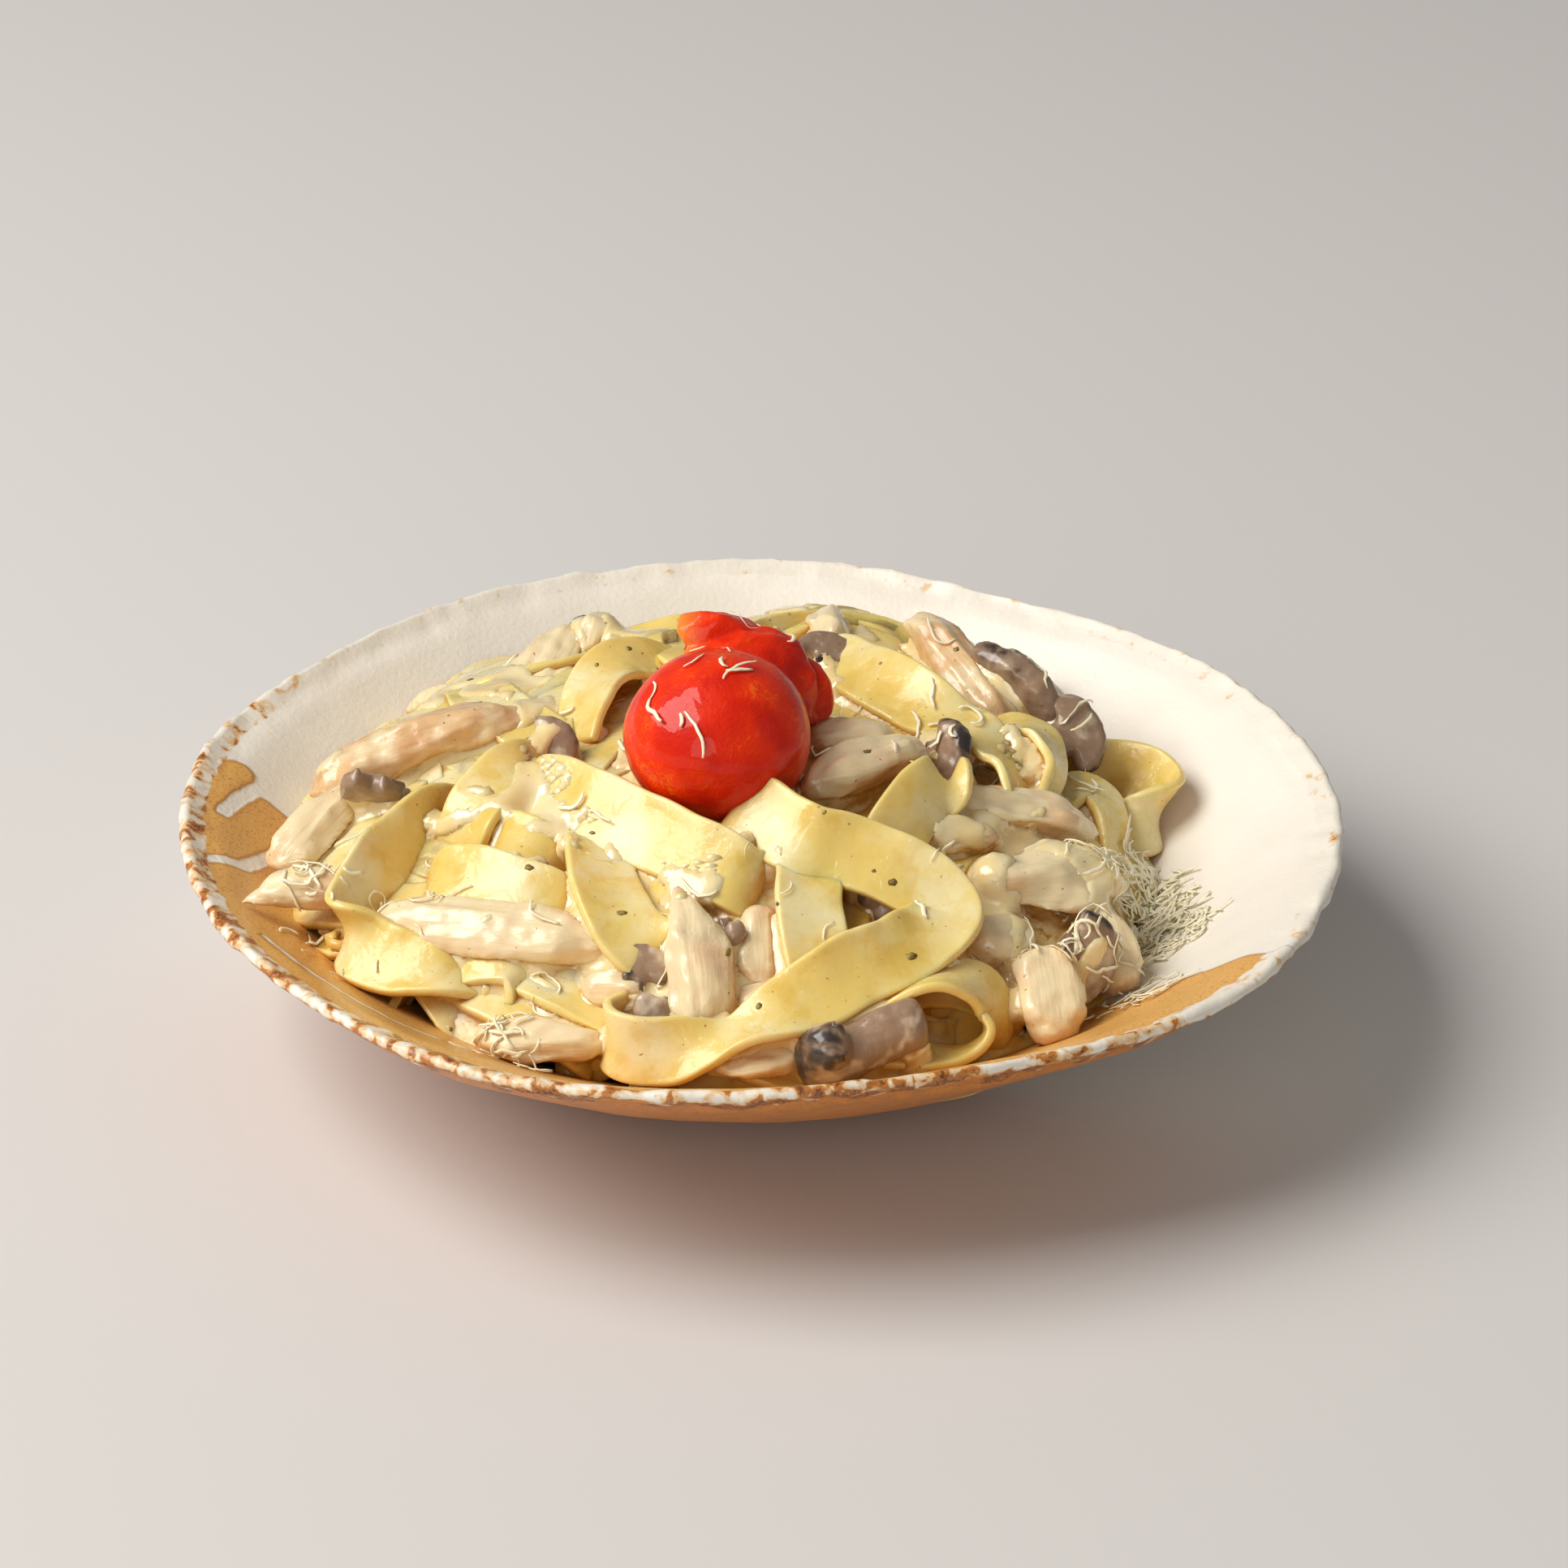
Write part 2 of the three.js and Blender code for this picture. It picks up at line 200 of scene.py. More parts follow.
def put_attribute(mesh: bpy.types.Mesh, name: str, values: np.ndarray) -> None:
    """Stores one number, or one vector, for each vertex of a mesh.

    Args:
        mesh: The mesh that takes it.
        name: The attribute's name.
        values: A number, or a row of three, for each vertex.
    """
    kind, key = ("FLOAT", "value") if values.ndim == 1 else ("FLOAT_VECTOR", "vector")
    layer = mesh.attributes.get(name) or mesh.attributes.new(name, kind, "POINT")
    layer.data.foreach_set(key, values.astype(np.float32).ravel())


def grid(bm: bmesh.types.BMesh, rows: np.ndarray) -> list[bmesh.types.BMVert]:
    """Adds a sheet of quads whose vertices are an array of points in metres.

    Args:
        bm: The bmesh that takes the sheet.
        rows: Points, indexed [along, across, xyz].

    Returns:
        The new vertices, ordered as the points are.
    """
    along, across = rows.shape[:2]
    made = bmesh.ops.create_grid(bm, x_segments=along - 1, y_segments=across - 1, size=1)["verts"]
    made.sort(key=lambda vert: (round(vert.co.x, 5), round(vert.co.y, 5)))
    for vert, point in zip(made, rows.reshape(-1, 3)):
        vert.co = point
    return made


def evaluated(mesh: bpy.types.Mesh, add_modifiers: Callable[[bpy.types.Object], None]) -> bpy.types.Mesh:
    """A new mesh: the given one, after the modifiers that a function adds to it.

    Args:
        mesh: The mesh to start from, which stays as it is.
        add_modifiers: Adds modifiers to the object that it is given.

    Returns:
        The new mesh.
    """
    carrier = bpy.data.objects.new("carrier", mesh)
    bpy.context.scene.collection.objects.link(carrier)
    add_modifiers(carrier)
    graph = bpy.context.evaluated_depsgraph_get()
    result = bpy.data.meshes.new_from_object(carrier.evaluated_get(graph))
    bpy.data.objects.remove(carrier)
    return result


def remeshed(mesh: bpy.types.Mesh, voxel: float, smooth: int = 0) -> bpy.types.Mesh:
    """The mesh's outer skin in even quads of one voxel's size, smoothed a number of times.

    Args:
        mesh: A closed mesh, or several that overlap.
        voxel: The size of a quad, in millimetres.
        smooth: How many times the quads are smoothed.

    Returns:
        The new mesh.
    """

    def add(carrier: bpy.types.Object) -> None:
        """Remesh, then Smooth.

        Args:
            carrier: The object that carries the mesh.
        """
        voxels = carrier.modifiers.new("voxels", "REMESH")
        voxels.mode = "VOXEL"
        voxels.voxel_size = voxel * MM
        if smooth:
            even = carrier.modifiers.new("even", "SMOOTH")
            even.factor = 0.5
            even.iterations = smooth

    return evaluated(mesh, add)


def subdivided(mesh: bpy.types.Mesh, levels: int) -> bpy.types.Mesh:
    """The mesh after a number of Catmull-Clark subdivisions.

    Args:
        mesh: A mesh.
        levels: How many times.

    Returns:
        The new mesh.
    """

    def add(carrier: bpy.types.Object) -> None:
        """Subdivision Surface.

        Args:
            carrier: The object that carries the mesh.
        """
        finer = carrier.modifiers.new("finer", "SUBSURF")
        finer.levels = finer.render_levels = levels

    return evaluated(mesh, add)


def swollen(mesh: bpy.types.Mesh, distance: float) -> bpy.types.Mesh:
    """Moves each vertex out along its normal, or in by a negative distance."""
    return move_to(mesh, places(mesh) + distance * normals(mesh))


def joined(meshes: Iterable[bpy.types.Mesh]) -> bpy.types.Mesh:
    """One mesh that holds copies of several.

    Args:
        meshes: The meshes.

    Returns:
        The new mesh.
    """
    bm = bmesh.new()
    for mesh in meshes:
        bm.from_mesh(mesh)
    return mesh_from(bm)


def cad_copy(node: str) -> bpy.types.Mesh:
    """A copy of a CAD node's mesh with its loose triangles joined up.

    Args:
        node: The node's name.

    Returns:
        The copy, which can be changed.
    """
    bm = bmesh.new()
    bm.from_mesh(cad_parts[node].data)
    bmesh.ops.remove_doubles(bm, verts=bm.verts, dist=0.01 * MM)
    return mesh_from(bm)


def principal(points: np.ndarray) -> tuple[np.ndarray, np.ndarray]:
    """The middle of some points, and their axes from the longest to the shortest as rows.

    Args:
        points: One row for each point.

    Returns:
        The middle, and three rows for the axes.
    """
    middle = points.mean(axis=0)
    _, axes = np.linalg.eigh(np.cov((points - middle).T))
    return middle, axes.T[::-1]


# ---------------------------------------------------------------------------- materials


class Tree:
    """A material's node tree, in which each method adds one node and returns its output."""

    def __init__(self, name: str) -> None:
        """Starts a material with one Principled shader.

        Args:
            name: The material's name.
        """
        self.material = bpy.data.materials.new(name)
        self.material.use_nodes = True
        self.nodes = self.material.node_tree.nodes
        self.links = self.material.node_tree.links
        self.shader = self.nodes["Principled BSDF"]

    def wire(self, socket: Socket, value: Socket | float | Sequence[float]) -> None:
        """Links a socket to another, or sets its own value.

        Args:
            socket: An input.
            value: An output to link to it, or the value to set.
        """
        if isinstance(value, bpy.types.NodeSocket):
            self.links.new(value, socket)
        elif isinstance(value, Sequence) and len(value) == 3 and len(socket.default_value) == 4:
            socket.default_value = (*value, 1.0)
        else:
            socket.default_value = value

    def surface(self, **values: Socket | float | Sequence[float]) -> None:
        """Sets the shader's inputs, named with _ for each space.

        Args:
            values: An output or a value for each input, such as Base_Color.
        """
        for name, value in values.items():
            self.wire(self.shader.inputs[name.replace("_", " ")], value)

    def place(self) -> Socket:
        """Object coordinates, in metres."""
        return self.nodes.new("ShaderNodeTexCoord").outputs["Object"]

    def attribute(self, name: str, output: str = "Fac") -> Socket:
        """One of the piece's own attributes.

        Args:
            name: The attribute's name.
            output: Fac for a number, Vector for a row of three.

        Returns:
            The attribute's value.
        """
        node = self.nodes.new("ShaderNodeAttribute")
        node.attribute_name = name
        return node.outputs[output]

    def noise(
        self, width: float, vector: Socket | None = None, detail: float = 3.0, stretch: float = 0.0
    ) -> Socket:
        """Noise whose bumps are about width millimetres, or width units of another vector.

        Args:
            width: About how wide the bumps are.
            vector: What the noise runs over, or None for the object's own coordinates.
            detail: How many finer layers it has.
            stretch: How far it is pulled about.

        Returns:
            The noise, around 0.5.
        """
        node = self.nodes.new("ShaderNodeTexNoise")
        node.inputs["Scale"].default_value = 1 / (width * MM) if vector is None else 1 / width
        node.inputs["Detail"].default_value = detail
        node.inputs["Distortion"].default_value = stretch
        self.wire(node.inputs["Vector"], self.place() if vector is None else vector)
        return node.outputs["Fac"]

    def ramp(self, value: Socket, low: float, high: float, start: float = 0.0, end: float = 1.0) -> Socket:
        """A smooth step of a value, from start at low to end at high.

        Args:
            value: What is stepped.
            low: Where the step begins.
            high: Where it ends.
            start: The result under low.
            end: The result over high.

        Returns:
            The stepped value.
        """
        node = self.nodes.new("ShaderNodeMapRange")
        node.interpolation_type = "SMOOTHSTEP"
        for name, given in (("From Min", low), ("From Max", high), ("To Min", start), ("To Max", end)):
            node.inputs[name].default_value = given
        self.wire(node.inputs["Value"], value)
        return node.outputs["Result"]

    def maths(self, operation: str, first: Socket | float, second: Socket | float = 0.0) -> Socket:
        """A Math node's result.

        Args:
            operation: The node's operation.
            first: Its first value.
            second: Its second value.

        Returns:
            The result.
        """
        node = self.nodes.new("ShaderNodeMath")
        node.operation = operation
        self.wire(node.inputs[0], first)
        self.wire(node.inputs[1], second)
        return node.outputs[0]

    def plus(self, first: Socket | float, second: Socket | float) -> Socket:
        """The sum of two values."""
        return self.maths("ADD", first, second)

    def times(self, first: Socket | float, second: Socket | float) -> Socket:
        """The product of two values."""
        return self.maths("MULTIPLY", first, second)

    def mix(self, share: Socket | float, first: Socket | Colour, second: Socket | Colour) -> Socket:
        """A colour between two.

        Args:
            share: 0 for the first colour, 1 for the second.
            first: A colour.
            second: Another.

        Returns:
            The mixed colour.
        """
        node = self.nodes.new("ShaderNodeMix")
        node.data_type = "RGBA"
        self.wire(node.inputs[0], share)
        self.wire(node.inputs[6], first)
        self.wire(node.inputs[7], second)
        return node.outputs[2]

    def stretched(self, vector: Socket, factors: Colour) -> Socket:
        """A vector with each part multiplied.

        Args:
            vector: The vector.
            factors: What its three parts are multiplied by.

        Returns:
            The new vector.
        """
        node = self.nodes.new("ShaderNodeVectorMath")
        node.operation = "MULTIPLY"
        self.wire(node.inputs[0], vector)
        self.wire(node.inputs[1], factors)
        return node.outputs[0]

    def specks(self, colour: Socket | Colour, share: float = 0.7) -> Socket:
        """A colour with a few small brown specks of spice."""
        spice = self.ramp(self.noise(1.2, detail=1.0), 0.75, 0.79, 0.0, share)
        return self.mix(spice, colour, (0.26, 0.11, 0.03))

    def crevice_shaded(self, colour: Socket, crevice_shade: Colour, most: float) -> Socket:
        """A colour that darkens towards a shade colour where the attribute enclosed is near 1: painted shade
        in crevices.
        """
        # painted shade: the more enclosed a point is, the more of the shade colour it takes
        crevice = self.ramp(self.attribute("enclosed"), 0.35, 0.9, 0.0, most)
        return self.mix(crevice, colour, crevice_shade)

    def bump(self, height: Socket, depth: float, under: Socket | None = None) -> Socket:
        """A normal bent by a height from 0 to 1 that stands for depth millimetres.

        Args:
            height: A height from 0 to 1.
            depth: What 1 stands for, in millimetres.
            under: A bent normal that this one is added to.

        Returns:
            The bent normal.
        """
        node = self.nodes.new("ShaderNodeBump")
        node.inputs["Distance"].default_value = depth * MM
        self.wire(node.inputs["Height"], height)
        if under is not None:
            self.wire(node.inputs["Normal"], under)
        return node.outputs["Normal"]


@dataclass(frozen=True)
class PastaFinish:
    """Cooked egg pasta under a film of cream sauce that thickens into white patches, with painted shade in
    its crevices and painted light along its thin edges.
    """

    dough: Colour = (0.86, 0.64, 0.185)
    rich: Colour = (0.76, 0.51, 0.085)
    pale: Colour = (0.88, 0.70, 0.27)
    cream: Colour = (0.91, 0.79, 0.46)
    # deep: the painted shade colour for crevices between ribbons
    deep: Colour = (0.70, 0.37, 0.05)
    coat: float = 0.5

    def build(self) -> bpy.types.Material:
        """Makes the material.

        Returns:
            A material that reads the attribute across, -1 to 1 over the ribbon's width.
        """
        tree = Tree("pasta")
        broad = tree.noise(16.0, detail=2.0)
        fine = tree.noise(2.6, detail=4.0, stretch=0.6)
        edge = tree.ramp(tree.maths("ABSOLUTE", tree.attribute("across")), 0.75, 1.0)
        mottle = tree.noise(6.0, detail=4.0, stretch=0.5)
        colour = tree.mix(tree.ramp(broad, 0.38, 0.62), self.dough, self.pale)
        colour = tree.mix(tree.ramp(mottle, 0.48, 0.66, 0.0, 0.6), colour, self.rich)
        patches = tree.ramp(tree.plus(broad, tree.times(fine, 0.35)), 0.6, 0.95)
        colour = tree.mix(patches, colour, self.cream)
        # painted light: edges paler, for light shining through the thin dough there
        colour = tree.mix(tree.times(edge, 0.4), colour, self.pale)
        # painted shade: crevices darkened towards deep
        colour = tree.specks(tree.crevice_shaded(colour, self.deep, 0.8))
        beads = tree.times(tree.noise(1.7, detail=2.0), tree.ramp(mottle, 0.55, 0.42))
        relief = tree.bump(fine, 0.10)
        tree.surface(
            Base_Color=colour,
            Roughness=tree.ramp(fine, 0.35, 0.65, 0.22, 0.40),
            Normal=relief,
            Subsurface_Weight=0.35,
            Subsurface_Radius=(1.0, 0.62, 0.22),
            Subsurface_Scale=2.5 * MM,
            Specular_IOR_Level=0.35,
            Coat_Weight=self.coat,
            Coat_Roughness=0.06,
            Coat_Normal=tree.bump(beads, 0.35, relief),
        )
        return tree.material


@dataclass(frozen=True)
class SauceFinish:
    """Thick cream sauce, a little deeper in colour where it has run thin, with painted shade in its crevices.
    """

    thick: Colour = (0.92, 0.775, 0.46)
    thin: Colour = (0.88, 0.68, 0.32)
    # deep: the painted shade colour for sauce in crevices
    deep: Colour = (0.52, 0.26, 0.045)

    def build(self) -> bpy.types.Material:
        """Makes the material.

        Returns:
            A material that reads the attribute enclosed.
        """
        tree = Tree("cream_sauce")
        broad = tree.noise(9.0, detail=3.0)
        colour = tree.mix(tree.ramp(broad, 0.35, 0.65), self.thin, self.thick)
        tree.surface(
            # painted shade: the sauce darkens towards deep in crevices
            Base_Color=tree.specks(tree.crevice_shaded(colour, self.deep, 1.0)),
            Roughness=0.16,
            Normal=tree.bump(tree.noise(2.4, detail=2.0), 0.12),
            Subsurface_Weight=0.3,
            Subsurface_Radius=(1.0, 0.7, 0.35),
            Subsurface_Scale=2.0 * MM,
            Coat_Weight=0.6,
            Coat_Roughness=0.06,
            Coat_Normal=tree.bump(tree.noise(1.8, detail=2.0), 0.16),
        )
        return tree.material


@dataclass(frozen=True)
class ChickenFinish:
    """Cooked breast: fibres along the piece's grain, browner on its ridges, with sauce in patches and painted
    shade in its crevices.
    """

    flesh: Colour = (0.85, 0.585, 0.325)
    seared: Colour = (0.67, 0.37, 0.16)
    sauce: Colour = (0.90, 0.74, 0.455)
    # deep: the painted shade colour for crevices round the strip
    deep: Colour = (0.64, 0.34, 0.11)
    seared_share: float = 0.15
    sauce_share: float = 0.45

    def build(self, name: str) -> bpy.types.Material:
        """Makes the material.

        Args:
            name: The material's name.

        Returns:
            A material that reads the attributes enclosed and grain, millimetres along the piece's axes.
        """
        tree = Tree(name)
        grain = tree.attribute("grain", "Vector")
        fibre = tree.noise(1.0, tree.stretched(grain, (0.12, 1.1, 1.1)), detail=3.0)
        broad = tree.noise(8.0, detail=3.0)
        other = tree.noise(5.0, tree.stretched(grain, (0.5, 1.0, 1.0)), detail=4.0)
        colour = tree.mix(tree.ramp(fibre, 0.45, 0.8, 0.0, 0.32), self.flesh, self.seared)
        browned = tree.ramp(other, 0.75 - self.seared_share, 0.95 - self.seared_share)
        colour = tree.mix(browned, colour, self.seared)
        sauced = tree.ramp(broad, 0.7 - self.sauce_share, 0.95 - self.sauce_share)
        colour = tree.mix(sauced, colour, self.sauce)
        # painted shade: crevices darkened towards deep
        colour = tree.specks(tree.crevice_shaded(colour, self.deep, 0.7))
        tree.surface(
            Base_Color=colour,
            Roughness=tree.ramp(other, 0.35, 0.65, 0.2, 0.42),
            Normal=tree.bump(fibre, 0.16, tree.bump(other, 0.16)),
            Subsurface_Weight=0.25,
            Subsurface_Radius=(1.0, 0.5, 0.3),
            Subsurface_Scale=2.0 * MM,
            Coat_Weight=0.45,
            Coat_Roughness=0.1,
            Coat_Normal=tree.bump(tree.noise(1.8, detail=2.0), 0.14),
        )
        return tree.material


@dataclass(frozen=True)
class MushroomFinish:
    """Cooked button mushroom: grey-brown flesh, darker towards its skin and gills, wet with sauce."""

    flesh: Colour = (0.36, 0.235, 0.15)
    brown: Colour = (0.24, 0.150, 0.092)
    dark: Colour = (0.045, 0.031, 0.026)
    pale: Colour = (0.66, 0.54, 0.40)

    def build(self) -> bpy.types.Material:
        """Makes the material.

        Returns:
            A material that reads the attribute skin, 1 round the slice's outline.
        """
        tree = Tree("mushroom")
        broad = tree.noise(5.5, detail=1.5, stretch=0.8)
        fine = tree.noise(1.4, detail=3.0)
        milk = tree.plus(broad, tree.times(fine, 0.2))
        colour = tree.mix(tree.ramp(milk, 0.62, 0.82), self.flesh, self.pale)
        shade = tree.plus(tree.attribute("skin"), tree.times(milk, -0.9))
        colour = tree.mix(tree.ramp(shade, -0.35, 0.35), colour, self.brown)
        gills = tree.ramp(tree.plus(shade, tree.noise(3.5, detail=2.0)), 0.55, 0.85)
        colour = tree.mix(gills, colour, self.dark)
        tree.surface(
            Base_Color=colour,
            Roughness=0.28,
            Normal=tree.bump(fine, 0.14),
            Subsurface_Weight=0.15,
            Subsurface_Radius=(1.0, 0.6, 0.4),
            Subsurface_Scale=1.5 * MM,
            Coat_Weight=0.35,
            Coat_Roughness=0.15,
        )
        return tree.material


@dataclass(frozen=True)
class TomatoFinish:
    """Roasted cherry tomato: deep red skin with orange mottling, glossy and slightly wrinkled."""

    red: Colour = (0.88, 0.036, 0.002)
    orange: Colour = (0.95, 0.15, 0.006)
    deep: Colour = (0.66, 0.014, 0.002)
    flesh: Colour = (0.95, 0.28, 0.04)

    def build(self) -> bpy.types.Material:
        """Makes the material.

        Returns:
            A material that reads the attribute torn, 1 where the skin is torn off.
        """
        tree = Tree("tomato")
        broad = tree.noise(11.0, detail=2.0)
        fine = tree.noise(1.3, detail=4.0, stretch=1.2)
        colour = tree.mix(tree.ramp(broad, 0.35, 0.6), self.deep, self.red)
        mottled = tree.ramp(tree.times(fine, broad), 0.28, 0.42, 0.0, 0.7)
        colour = tree.mix(mottled, colour, self.orange)
        colour = tree.mix(tree.attribute("torn"), colour, self.flesh)
        tree.surface(
            Base_Color=colour,
            Roughness=0.4,
            Normal=tree.bump(fine, 0.2),
            Subsurface_Weight=0.2,
            Subsurface_Radius=(1.0, 0.12, 0.04),
            Subsurface_Scale=3.0 * MM,
            Specular_IOR_Level=0.1,
            Coat_Weight=0.38,
            Coat_Roughness=0.06,
        )
        return tree.material


@dataclass(frozen=True)
class GarnishFinish:
    """Grated cheese or dried herbs: two colours mixed by noise."""

    name: str
    light: Colour
    dark: Colour
    width: float
    roughness: float

    def build(self) -> bpy.types.Material:
        """Makes the material.

        Returns:
            A material that reads no attribute.
        """
        tree = Tree(self.name)
        blotches = tree.noise(self.width, detail=3.0)
        tree.surface(
            Base_Color=tree.mix(tree.ramp(blotches, 0.35, 0.65), self.dark, self.light),
            Roughness=self.roughness,
            Normal=tree.bump(blotches, 0.1),
        )
        return tree.material


@dataclass(frozen=True)
class GlazeFinish:
    """Cream glaze over a toasted brown one, with a white lip burnt through in flecks."""

    cream: Colour = (0.95, 0.89, 0.79)
    cool: Colour = (0.92, 0.85, 0.74)
    brown: Colour = (0.84, 0.45, 0.11)
    toasted: Colour = (0.50, 0.18, 0.030)
    burnt: Colour = (0.19, 0.048, 0.012)
    white: Colour = (0.90, 0.84, 0.73)
    tan: Colour = (0.80, 0.53, 0.27)
    outer: Colour = (0.68, 0.23, 0.025)
    clay: Colour = (0.55, 0.38, 0.24)

    def build(self) -> bpy.types.Material:
        """Makes the material.

        Returns:
            A material that reads three attributes in millimetres, brown (how far inside the brown
            glaze), lip (how far from the lip) and foot (how far from the bare foot ring), and the
            shares flecks (of the lip that is burnt through) and outside (1 on the wall's outside).
        """
        tree = Tree("glaze")
        ragged = tree.noise(3.5, detail=4.0)
        speckle = tree.noise(0.55, detail=2.0)
        cloud = tree.noise(30.0, detail=2.0)
        cream = tree.mix(tree.ramp(cloud, 0.35, 0.65), self.cool, self.cream)
        pooled = tree.mix(tree.ramp(speckle, 0.54, 0.68, 0.0, 0.7), self.brown, self.toasted)
        pooled = tree.mix(tree.ramp(cloud, 0.45, 0.75, 0.0, 0.3), pooled, self.toasted)
        fray = tree.maths("SUBTRACT", ragged, 0.5)
        edge = tree.plus(tree.attribute("brown"), tree.times(fray, 0.8))
        pooled = tree.mix(tree.ramp(edge, 0.1, 1.1, 0.6, 0.0), pooled, self.toasted)
        outer = tree.mix(tree.ramp(ragged, 0.4, 0.65, 0.0, 0.7), self.outer, self.toasted)
        outer = tree.mix(tree.ramp(speckle, 0.56, 0.70, 0.0, 0.6), outer, self.burnt)
        pooled = tree.mix(tree.times(tree.attribute("outside"), 0.95), pooled, outer)
        colour = tree.mix(tree.ramp(edge, -0.25, 0.25), cream, pooled)
        rim = tree.plus(tree.attribute("lip"), tree.times(fray, -2.4))
        drips = tree.times(tree.maths("SUBTRACT", tree.noise(9.0, detail=1.0), 0.5), -14.0)
        rim = tree.plus(rim, tree.times(drips, tree.attribute("outside")))
        band = tree.ramp(rim, 3.3, 3.7, 1.0, 0.0)
        fleck = tree.plus(tree.noise(3.2, detail=4.0, stretch=0.4), tree.attribute("flecks"))
        burnt = tree.mix(tree.ramp(speckle, 0.4, 0.6), self.toasted, self.burnt)
        lip = tree.mix(tree.ramp(fleck, 0.45, 0.58), self.white, self.tan)
        lip = tree.mix(tree.ramp(fleck, 0.575, 0.62), lip, self.toasted)
        lip = tree.mix(tree.ramp(fleck, 0.63, 0.70), lip, burnt)
        colour = tree.mix(band, colour, lip)
        colour = tree.mix(tree.ramp(tree.attribute("foot"), -0.4, 0.4, 1.0, 0.0), colour, self.clay)
        relief = tree.bump(tree.noise(1.2, detail=3.0), 0.12, tree.bump(tree.ramp(edge, -0.6, 0.6), 0.25))
        tree.surface(Base_Color=colour, Roughness=0.42, Normal=relief, Coat_Weight=0.25, Coat_Roughness=0.25)
        return tree.material


# --------------------------------------------------------------------------------- bowl


@dataclass
class Bowl:
    """The shallow bowl, spun from its wall's section and then cut round the rim as by hand.

    The brown glaze lies in front of a line from brown_from to brown_to, with a knob past that line and
    cream streaks across it. Knob and streaks are rounded strokes: a half width, then the stops.
    """

    rim_radius: float = 104.6
    rim_height: float = 38.0
    foot_outer: float = 44.0
    foot_inner: float = 37.0
    foot_recess: float = 1.4
    wall_start: float = 2.0
    wall_power: float = 1.28
    wall_at_foot: float = 5.5
    wall_at_rim: float = 3.6
    rim_lobes: Waves = (
        (1, 0.8, -90), (2, 0.8, -61), (3, 1.5, -42), (4, 0.8, -38), (5, 1.2, 144), (9, 0.35, 20),
    )
    rim_dips: Waves = ((3, 0.45, 70), (7, 0.35, 200))
    turns: int = 360
    wall_steps: int = 44
    brown_from: Pair = (-96.0, 14.5)
    brown_to: Pair = (88.0, -53.0)
    knob: Stroke = (3.3, ((-99, 6), (-96.8, 17)))
    streaks: tuple[Stroke, ...] = (
        (1.3, ((-98, 0.5), (-95.3, 9.5), (-91, 20))),
        (1.3, ((-98, -18.5), (-92.6, -15.5), (-86.5, 0))),
        (0.7, ((-86, -44), (-76, -55), (-62, -65), (-54, -67))),
    )

    @staticmethod
    def waves(terms: Waves, angle: np.ndarray | float) -> np.ndarray | float:
        """Sum of cosines round a circle, from (count, amplitude, phase in degrees) terms."""
        return sum(size * np.cos(count * angle - math.radians(phase)) for count, size, phase in terms)

    def outer_height(self, radius: float) -> float:
        """Height of the outside wall over the table at a radius from the middle."""
        share = max(0.0, (radius - self.foot_outer) / (self.rim_radius - self.foot_outer))
        return self.wall_start + (self.rim_height - self.wall_start) * share**self.wall_power

    @cached_property
    def wall(self) -> tuple[np.ndarray, np.ndarray]:
        """Points (radius, height) of the wall's outside and inside, from the foot to the rim.

        Returns:
            The outside's points, then the inside's, as rows.
        """
        outer, inner = [], []
        for share in np.linspace(0, 1, self.wall_steps + 1):
            radius = self.foot_outer + 2 + share * (self.rim_radius - self.foot_outer - 2)
            slope = (self.outer_height(radius + 0.1) - self.outer_height(radius - 0.1)) / 0.2
            thickness = self.wall_at_foot + share * (self.wall_at_rim - self.wall_at_foot)
            point = np.array([radius, self.outer_height(radius)])
            outer.append(point)
            inner.append(point + thickness * unit(np.array([-slope, 1.0])))
        return np.array(outer), np.array(inner)

    def inner_height(self, radius: np.ndarray | float) -> np.ndarray | float:
        """Height of the bowl's inside at a radius from its middle."""
        _, inner = self.wall
        return np.interp(radius, inner[:, 0], inner[:, 1])

    def section(self) -> np.ndarray:
        """The whole wall's section, from the axis under the foot, round the lip, back to the axis.

        Returns:
            The section's points (radius, height), as rows.
        """
        outer, inner = self.wall
        middle = (outer[-1] + inner[-1]) / 2
        half = np.linalg.norm(outer[-1] - inner[-1]) / 2
        start = math.atan2(*(outer[-1] - middle)[::-1])
        turns = start + np.linspace(0, math.pi, 11)[1:-1]
        lip = middle + half * np.stack([np.cos(turns), np.sin(turns)], axis=1)
        recess, floor = self.foot_recess, inner[0][1]
        foot = [(0, recess), (self.foot_inner / 2, recess), (self.foot_inner - 1, recess)]
        ring = [(self.foot_inner - 0.3, recess / 3), (self.foot_inner + 0.4, 0), (self.foot_outer - 1.2, 0)]
        rise = [(self.foot_outer - 0.4, 0.3), (self.foot_outer, 1.0), (self.foot_outer + 0.6, 1.7)]
        base = [(34, floor - 0.35), (24, floor - 0.5), (12, floor - 0.6), (0, floor - 0.6)]
        return np.array([*foot, *ring, *rise, *outer, *lip, *inner[::-1], *base])

    @staticmethod
    def off(line: Stroke, point: np.ndarray) -> float:
        """How far a point lies outside a rounded stroke.

        Args:
            line: The stroke's half width and stops.
            point: A point, seen from above.

        Returns:
            The distance in millimetres, below 0 inside the stroke.
        """
        half, stops = line
        points = np.array(stops, float)
        reach = math.inf
        for first, second in zip(points, points[1:]):
            share = np.dot(point - first, second - first) / np.dot(second - first, second - first)
            nearest = first + np.clip(share, 0, 1) * (second - first)
            reach = min(reach, float(np.linalg.norm(point - nearest)))
        return reach - half

